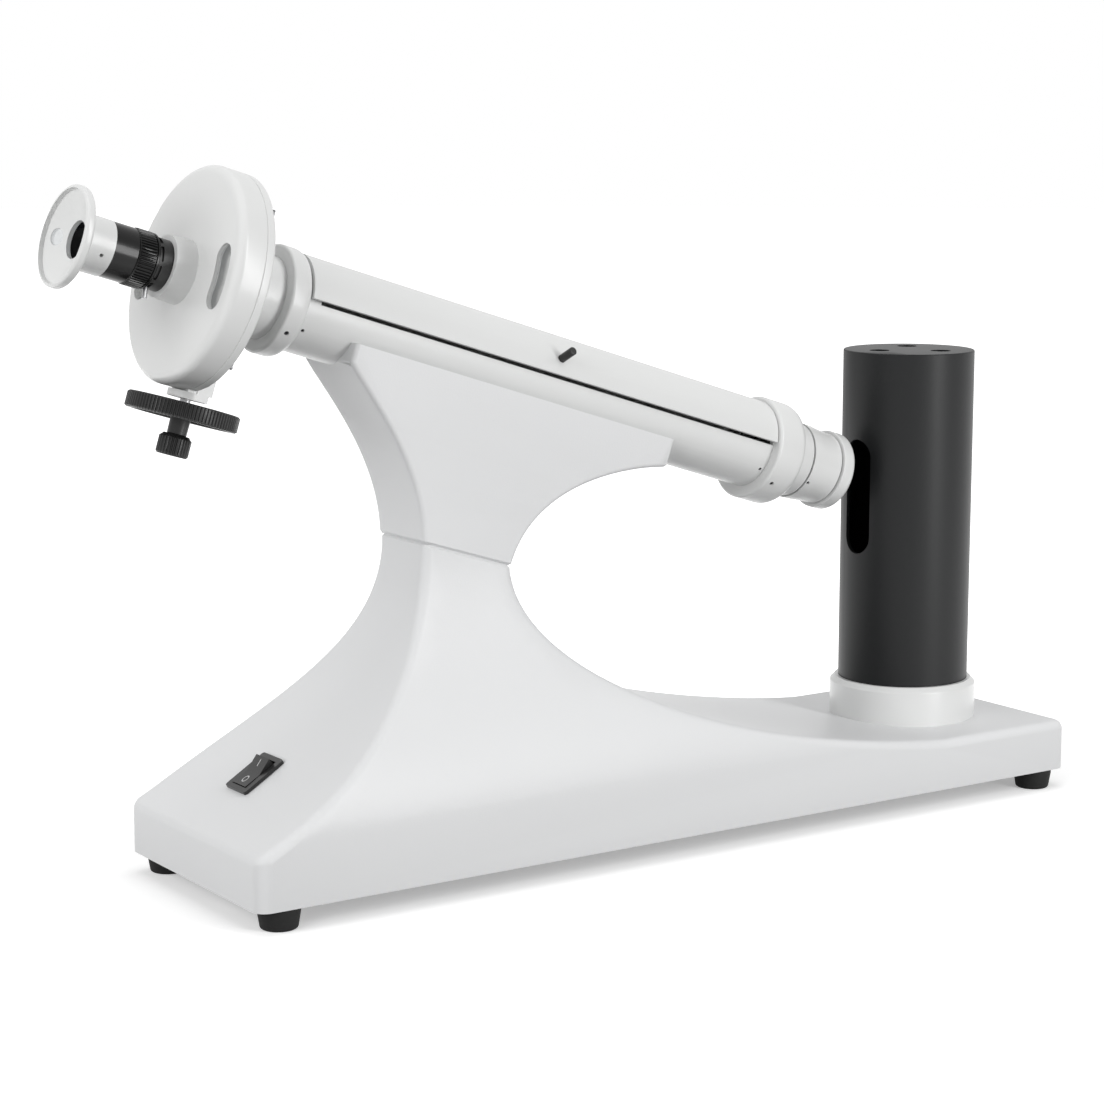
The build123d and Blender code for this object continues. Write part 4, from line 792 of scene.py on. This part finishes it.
def ribbedTurn(form, ribs, outline):
    corners = cornersPerRib * ribs
    bmesh.ops.create_circle(form, segments=corners, radius=1.0)
    ring = form.verts[:]
    edges = form.edges[:]
    firstRing = ring

    def setRing(verts, radius, height, depth):
        for vert in verts:
            corner = round(atan2(vert.co.y, vert.co.x) * corners / (2 * pi)) % cornersPerRib
            reach = radius - (depth if corner >= cornersPerRib / 2 else 0.0)
            flat = Vector((vert.co.x, vert.co.y, 0)).normalized() * reach
            vert.co = (flat.x, flat.y, height)

    setRing(ring, *outline[0])
    for radius, height, depth in outline[1:]:
        made = bmesh.ops.extrude_edge_only(form, edges=edges)["geom"]
        ring = [item for item in made if isinstance(item, bmesh.types.BMVert)]
        kept = set(ring)
        edges = [
            item for item in made
            if isinstance(item, bmesh.types.BMEdge) and item.verts[0] in kept and item.verts[1] in kept
        ]
        setRing(ring, radius, height, depth)
    firstEdges = [edge for edge in form.edges if edge.verts[0] in firstRing and edge.verts[1] in firstRing]
    bmesh.ops.bridge_loops(form, edges=edges + firstEdges)


# Frame on the drive shaft: Z runs down the shaft, away from the dial
shaftStation = -167.0


def shaftFrame(drop):
    place = Matrix((tubeAxis, -tubeAcross, -tubeUp)).transposed().to_4x4()
    place.translation = tubePoint(shaftStation, -drop)
    return place


# The large wheel: a dished top, ribs round its rim, and a hub below. Its top and both bottoms are
# drops down the shaft
handwheel = {
    "ribs": 92, "radius": 26.3, "top": 57.0, "bottom": 64.7, "grooveDepth": 0.62,
    "chamfer": 0.9, "chamferFall": 0.8, "wall": 3.0, "web": 2.6, "bore": 2.53,
    "dish": 0.35, "dishEdge": 3.4, "rimEdge": 2.6,
    "lipIn": 0.3, "lipUp": 0.4, "wallDraft": 0.6, "webRound": 0.8,
    "hubRadius": 4.6, "hubBottom": 71.7, "hubFoot": 1.2, "hubFootEdge": 0.6, "hubFootTop": 1.6,
    "hubDraft": 0.2, "hubRound": 0.3, "hubSteps": 48,
}


def makeHandwheel():
    size = handwheel
    form = bmesh.new()
    deep = size["grooveDepth"]
    rim = size["radius"]
    inside = rim - size["wall"]
    thick = size["bottom"] - size["top"]
    fall = size["chamfer"] * size["chamferFall"]
    foot = size["hubRadius"] + size["hubFoot"]
    web = size["web"]
    end = size["hubBottom"] - size["top"]
    ribbedTurn(
        form, size["ribs"],
        [
            (foot, size["dish"], 0),
            (rim - size["dishEdge"], size["dish"], 0),
            (rim - size["rimEdge"], 0.0, 0),
            (rim - size["chamfer"], 0.0, 0),
            (rim, fall, deep),
            (rim, thick - fall, deep),
            (rim - size["chamfer"], thick, 0),
            (inside, thick, 0),
            (inside - size["lipIn"], thick - size["lipUp"], 0),
            (inside - size["wallDraft"], web + size["webRound"], 0),
            (inside - size["wallDraft"] - size["webRound"], web, 0),
            (foot, web, 0),
        ],
    )
    lathe(
        form,
        [
            (size["bore"], 0.0),
            (foot, 0.0),
            (foot, web + size["hubFootEdge"]),
            (size["hubRadius"] + size["hubDraft"], web + size["hubFootTop"]),
            (size["hubRadius"], end - size["hubRound"]),
            (size["hubRadius"] - size["hubRound"], end),
            (size["bore"], end),
        ],
        size["hubSteps"],
    )
    addPiece(
        "handwheelMoulding", form, shaftFrame(size["top"]), "black", "handwheel",
        ["handwheel"],
    )


# The small knob at the shaft's end, with the screw that holds it sunk in its face
fineKnob = {
    "ribs": 28, "radius": 7.6, "top": 71.7, "bottom": 81.6, "grooveDepth": 0.7, "bore": 2.53,
    "neck": 1.6, "shoulder": 0.9, "ribStart": 1.7, "ribEnd": 1.0, "endChamfer": 0.8,
    "faceEdge": 2.2, "sinkEdge": 2.8, "sink": 0.5, "cap": 1.7, "screwHole": 1.1,
}
fineScrew = {
    "radius": 1.08, "hidden": -0.1, "edge": 0.25, "crown": 0.42, "crownRadius": 0.85, "core": 0.02,
    "lift": 0.2, "steps": 24,
}


def makeFineKnob():
    size = fineKnob
    form = bmesh.new()
    deep = size["grooveDepth"]
    rim = size["radius"]
    tall = size["bottom"] - size["top"]
    ribbedTurn(
        form, size["ribs"],
        [
            (size["bore"], 0.0, 0),
            (rim - size["neck"], 0.0, 0),
            (rim - size["shoulder"], size["shoulder"], 0),
            (rim, size["ribStart"], deep),
            (rim, tall - size["ribEnd"], deep),
            (rim - size["endChamfer"], tall, 0),
            (rim - size["faceEdge"], tall, 0),
            (rim - size["sinkEdge"], tall - size["sink"], 0),
            (size["screwHole"], tall - size["sink"], 0),
            (size["screwHole"], tall - size["cap"], 0),
            (size["bore"], tall - size["cap"], 0),
        ],
    )
    addPiece(
        "fineKnobMoulding", form, shaftFrame(size["top"]), "black", "handwheel",
        ["fine_knob"],
    )
    screw = bmesh.new()
    lathe(
        screw,
        [
            (fineScrew["core"], fineScrew["hidden"]),
            (fineScrew["radius"], fineScrew["hidden"]),
            (fineScrew["radius"], fineScrew["edge"]),
            (fineScrew["crownRadius"], fineScrew["crown"]),
            (fineScrew["core"], fineScrew["crown"]),
        ],
        fineScrew["steps"],
    )
    place = shaftFrame(size["bottom"] - size["cap"] + fineScrew["lift"])
    addPiece("fineKnobScrew", screw, place, "steel", "handwheel")


# The focusing ring, with a plain lip at its back. Its front, back and step are stations on the tube
focusRing = {
    "ribs": 54, "front": -213.2, "back": -202.8, "radius": 13.2, "grooveDepth": 0.75,
    "skirt": 11.18, "guide": 9.08, "step": -204.5,
    "frontEdge": 1.1, "frontSlope": 0.25, "slopeEnd": 0.7, "ribStart": 1.3,
    "lip": 1.5, "ribFade": 0.5, "ribGap": 0.2, "lipRound": 0.3, "lipUnder": 0.1,
    "backRound": 0.4, "backEdge": 0.5,
}


def makeFocusRing():
    size = focusRing
    form = bmesh.new()
    deep = size["grooveDepth"]
    rim = size["radius"]
    plain = rim - size["lipUnder"]
    length = size["back"] - size["front"]
    lip = length - size["lip"]
    step = size["step"] - size["front"]
    ribbedTurn(
        form, size["ribs"],
        [
            (size["skirt"], 0.0, 0),
            (rim - size["frontEdge"], 0.0, 0),
            (rim - size["frontSlope"], size["slopeEnd"], deep / 2),
            (rim, size["ribStart"], deep),
            (rim, lip - size["ribFade"], deep),
            (rim - deep, lip - size["ribGap"], 0),
            (rim - deep, lip, 0),
            (plain, lip + size["lipRound"], 0),
            (plain, length - size["backRound"], 0),
            (rim - size["backEdge"], length, 0),
            (size["guide"], length, 0),
            (size["guide"], step, 0),
            (size["skirt"], step, 0),
        ],
    )
    addPiece(
        "focusRingKnurl", form, tubeFrame(size["front"]), "gloss", "focus_ring",
        ["focus_ring"],
    )


# Scales: thin raised lines, one drawn for each division, and plain numbers in the built-in letters.
# The dial counts 0 to 180 degrees twice round, and each vernier 0 to 10
dialFace = {
    "station": -179.3, "rise": 0.03, "lineWidth": 0.18, "outer": 38.8, "short": 37.4, "middle": 36.7,
    "long": 36.0, "numberCircle": 33.9, "numberSize": 2.3, "step": 10, "halfStep": 5,
}
vernierFace = {
    "station": -180.6, "rise": 0.03, "lineWidth": 0.18, "inner": 39.5, "short": 41.0, "long": 41.8,
    "numberCircle": 43.3, "numberSize": 1.7, "divisions": 20, "longEvery": 2, "numberEvery": 4,
    "pitch": 0.95,
}


# The face that the viewer reads: X to the viewer's right, Z towards the eye
def faceFrame(station):
    place = Matrix((-tubeAcross, tubeUp, -tubeAxis)).transposed().to_4x4()
    place.translation = tubePoint(station)
    return place


def addLine(form, angle, inner, outer, width, rise):
    made = bmesh.ops.create_grid(form, x_segments=1, y_segments=1, size=0.5)["verts"]
    bmesh.ops.scale(form, vec=(outer - inner, width, 1), verts=made)
    bmesh.ops.translate(form, vec=((inner + outer) / 2, 0, 0), verts=made)
    bmesh.ops.rotate(form, verts=made, cent=(0, 0, 0), matrix=Matrix.Rotation(radians(angle), 3, "Z"))
    faces = list({face for vert in made for face in vert.link_faces})
    raised = bmesh.ops.extrude_face_region(form, geom=faces)["geom"]
    bmesh.ops.translate(
        form, vec=(0, 0, rise), verts=[item for item in raised if isinstance(item, bmesh.types.BMVert)]
    )


# A number's flat shape, lying in the face with its top away from the middle
def addNumber(form, text, angle, circle, height, rise):
    letters = bpy.data.curves.new("number", "FONT")
    letters.body = text
    letters.size = height
    letters.align_x = "CENTER"
    letters.align_y = "CENTER"
    letters.resolution_u = 2
    letters.extrude = rise / 2
    holder = bpy.data.objects.new("number", letters)
    flat = bpy.data.meshes.new_from_object(holder)
    flat.transform(
        Matrix.Rotation(radians(angle), 4, "Z")
        @ Matrix.Translation((circle, 0, rise / 2))
        @ Matrix.Rotation(-pi / 2, 4, "Z")
    )
    form.from_mesh(flat)
    bpy.data.objects.remove(holder)
    bpy.data.curves.remove(letters)
    bpy.data.meshes.remove(flat)


def makeDialScale():
    size = dialFace
    form = bmesh.new()
    for degree in range(360):
        halfway = degree % size["halfStep"] == 0
        reach = "long" if degree % size["step"] == 0 else "middle" if halfway else "short"
        width = size["lineWidth"] * (1 if reach == "short" else 2)
        addLine(form, degree, size[reach], size["outer"], width, size["rise"])
    place = faceFrame(size["station"])
    sharp = smoothing["numberAngle"]
    addPiece("dialLines", form, place, "ink", "dial", sharp=sharp)
    form = bmesh.new()
    for degree in range(0, 360, size["step"]):
        shown = degree if degree <= 180 else degree - 180
        addNumber(form, str(shown), degree, size["numberCircle"], size["numberSize"], size["rise"])
    addPiece("dialNumbers", form, place, "ink", "dial", sharp=sharp)


def makeVernierScales():
    size = vernierFace
    lines = bmesh.new()
    numbers = bmesh.new()
    for side in (0, 180):
        for division in range(size["divisions"] + 1):
            angle = side + (division - size["divisions"] / 2) * size["pitch"]
            reach = "long" if division % size["longEvery"] == 0 else "short"
            numbered = division % size["numberEvery"] == 0
            width = size["lineWidth"] * (2 if numbered else 1)
            addLine(lines, angle, size["inner"], size[reach], width, size["rise"])
            if numbered:
                number = str(division // 2)
                addNumber(numbers, number, angle, size["numberCircle"], size["numberSize"], size["rise"])
    place = faceFrame(size["station"])
    sharp = smoothing["numberAngle"]
    addPiece("vernierLines", lines, place, "ink", "stand", sharp=sharp)
    addPiece("vernierNumbers", numbers, place, "ink", "stand", sharp=sharp)


# Grub screws with a hexagon socket, as station, angle, outside of the screw, radius and length
grubScrews = [
    (-136.8, -33.7, 25.5, 1.2, 3.0),
    (161.2, -37.7, 26.6, 1.2, 3.0),
    (-127.1, -31.0, 20.6, 0.9, 1.6),
    (154.1, -31.0, 20.6, 0.9, 1.6),
    (188.3, -31.0, 19.7, 0.9, 1.8),
]
screwSocket = {"share": 0.6, "depth": 0.75, "sides": 6, "steps": 24}


def addGrubScrew(form, place, radius, length):
    size = screwSocket
    made = bmesh.new()
    bmesh.ops.create_circle(made, segments=size["steps"], radius=radius)
    outer = made.edges[:]
    bmesh.ops.create_circle(made, segments=size["sides"], radius=radius * size["share"])
    inner = [edge for edge in made.edges if edge not in outer]
    bmesh.ops.bridge_loops(made, edges=outer + inner)
    for edges, depth in ((inner, size["depth"]), (outer, length)):
        sunk = bmesh.ops.extrude_edge_only(made, edges=edges)["geom"]
        verts = [item for item in sunk if isinstance(item, bmesh.types.BMVert)]
        bmesh.ops.translate(made, vec=(0, 0, -depth), verts=verts)
        bmesh.ops.contextual_create(made, geom=verts)
    made.transform(Matrix.Scale(1 / mm, 4) @ place @ Matrix.Scale(mm, 4))
    keep = bpy.data.meshes.new("screw")
    made.to_mesh(keep)
    made.free()
    form.from_mesh(keep)
    bpy.data.meshes.remove(keep)


def makeRingScrews():
    form = bmesh.new()
    for station, angle, outside, radius, length in grubScrews:
        addGrubScrew(form, radialFrame(station, angle, outside), radius, length)
    addPiece("ringGrubScrews", form, Matrix(), "darkSteel", "stand", ["ring_set_screws"])


# Round headed screws with a fine hole along their middle, four round the back of the dial housing
coverScrews = {
    "count": 4, "turn": 47.0, "circle": 50.05, "station": -166.5, "length": 12.8, "shank": 0.88,
    "head": 1.7, "height": 0.9, "edgeHeight": 0.45, "crown": 0.72, "crownHeight": 0.88,
    "hole": 0.25, "innerRing": 0.5, "steps": 28,
}


def makeCoverScrews():
    size = coverScrews
    form = bmesh.new()
    head = size["head"]
    tall = size["height"]
    lathe(
        form,
        [
            (size["hole"], -size["length"]),
            (size["shank"], -size["length"]),
            (size["shank"], 0.0),
            (head, 0.0),
            (head, tall * size["edgeHeight"]),
            (head * size["crown"], tall * size["crownHeight"]),
            (size["hole"], tall),
            (size["hole"], tall - size["innerRing"]),
        ],
        size["steps"],
    )
    bmesh.ops.translate(form, vec=(size["circle"], 0, 0), verts=form.verts)
    bmesh.ops.rotate(
        form, verts=form.verts, cent=(0, 0, 0), matrix=Matrix.Rotation(radians(size["turn"]), 3, "Z")
    )
    copies = size["count"] - 1
    bmesh.ops.spin(
        form, geom=form.verts[:] + form.edges[:] + form.faces[:],
        cent=(0, 0, 0), axis=(0, 0, 1), dvec=(0, 0, 0),
        angle=2 * pi * copies / size["count"], steps=copies, use_duplicate=True,
    )
    addPiece(
        "coverScrewHeads", form, tubeFrame(size["station"]), "steel", "stand", ["dial_cover_screws"]
    )


# The marks for off and on, a ring and a bar, laid on the rocker's two faces
rockerMarks = {
    "origin": (-0.18168, 0.004, 0.05597), "normal": (-0.528, 0.0, 0.8492), "run": (0.8492, 0.0, 0.528),
    "ringAlong": -5.2, "ringRadius": 1.75, "ringWidth": 0.42, "ringSteps": 40, "stretch": 1.25,
    "barAlong": 4.6, "barLength": 3.6, "barWidth": 0.5, "rise": 0.02, "rayStart": 0.02,
}


def makeRockerMarks():
    size = rockerMarks
    run = Vector(size["run"]).normalized()
    normal = Vector(size["normal"]).normalized()
    place = Matrix((run, normal.cross(run), normal)).transposed().to_4x4()
    place.translation = Vector(size["origin"])
    form = bmesh.new()
    for radius in (size["ringRadius"], size["ringRadius"] - size["ringWidth"]):
        bmesh.ops.create_circle(form, segments=size["ringSteps"], radius=radius)
    bmesh.ops.bridge_loops(form, edges=form.edges[:])
    bmesh.ops.scale(form, vec=(size["stretch"], 1, 1), verts=form.verts)
    bmesh.ops.translate(form, vec=(size["ringAlong"], 0, 0), verts=form.verts)
    bar = bmesh.ops.create_grid(form, x_segments=3, y_segments=1, size=0.5)["verts"]
    bmesh.ops.scale(form, vec=(size["barLength"], size["barWidth"], 1), verts=bar)
    bmesh.ops.translate(form, vec=(size["barAlong"], 0, 0), verts=bar)
    ground = BVHTree.FromPolygons(*meshParts(nodes["switch_rocker"].data))
    for vert in form.verts:
        above = place @ (vert.co * mm) + normal * size["rayStart"]
        hit = ground.ray_cast(above, -normal)
        vert.co.z = normal.dot(hit[0] - place.translation) / mm + size["rise"]
    sharp = smoothing["markAngle"]
    addPiece("rockerMarks", form, place, "whiteInk", "rocker", sharp=sharp)


def meshParts(mesh):
    return [vert.co.copy() for vert in mesh.vertices], [tuple(face.vertices) for face in mesh.polygons]


makeHandwheel()
makeFineKnob()
makeFocusRing()
print("wheels and focusing ring modelled")
makeDialScale()
makeVernierScales()
print("scales drawn")
makeRingScrews()
makeCoverScrews()
makeRockerMarks()
print("screws and switch marks set")
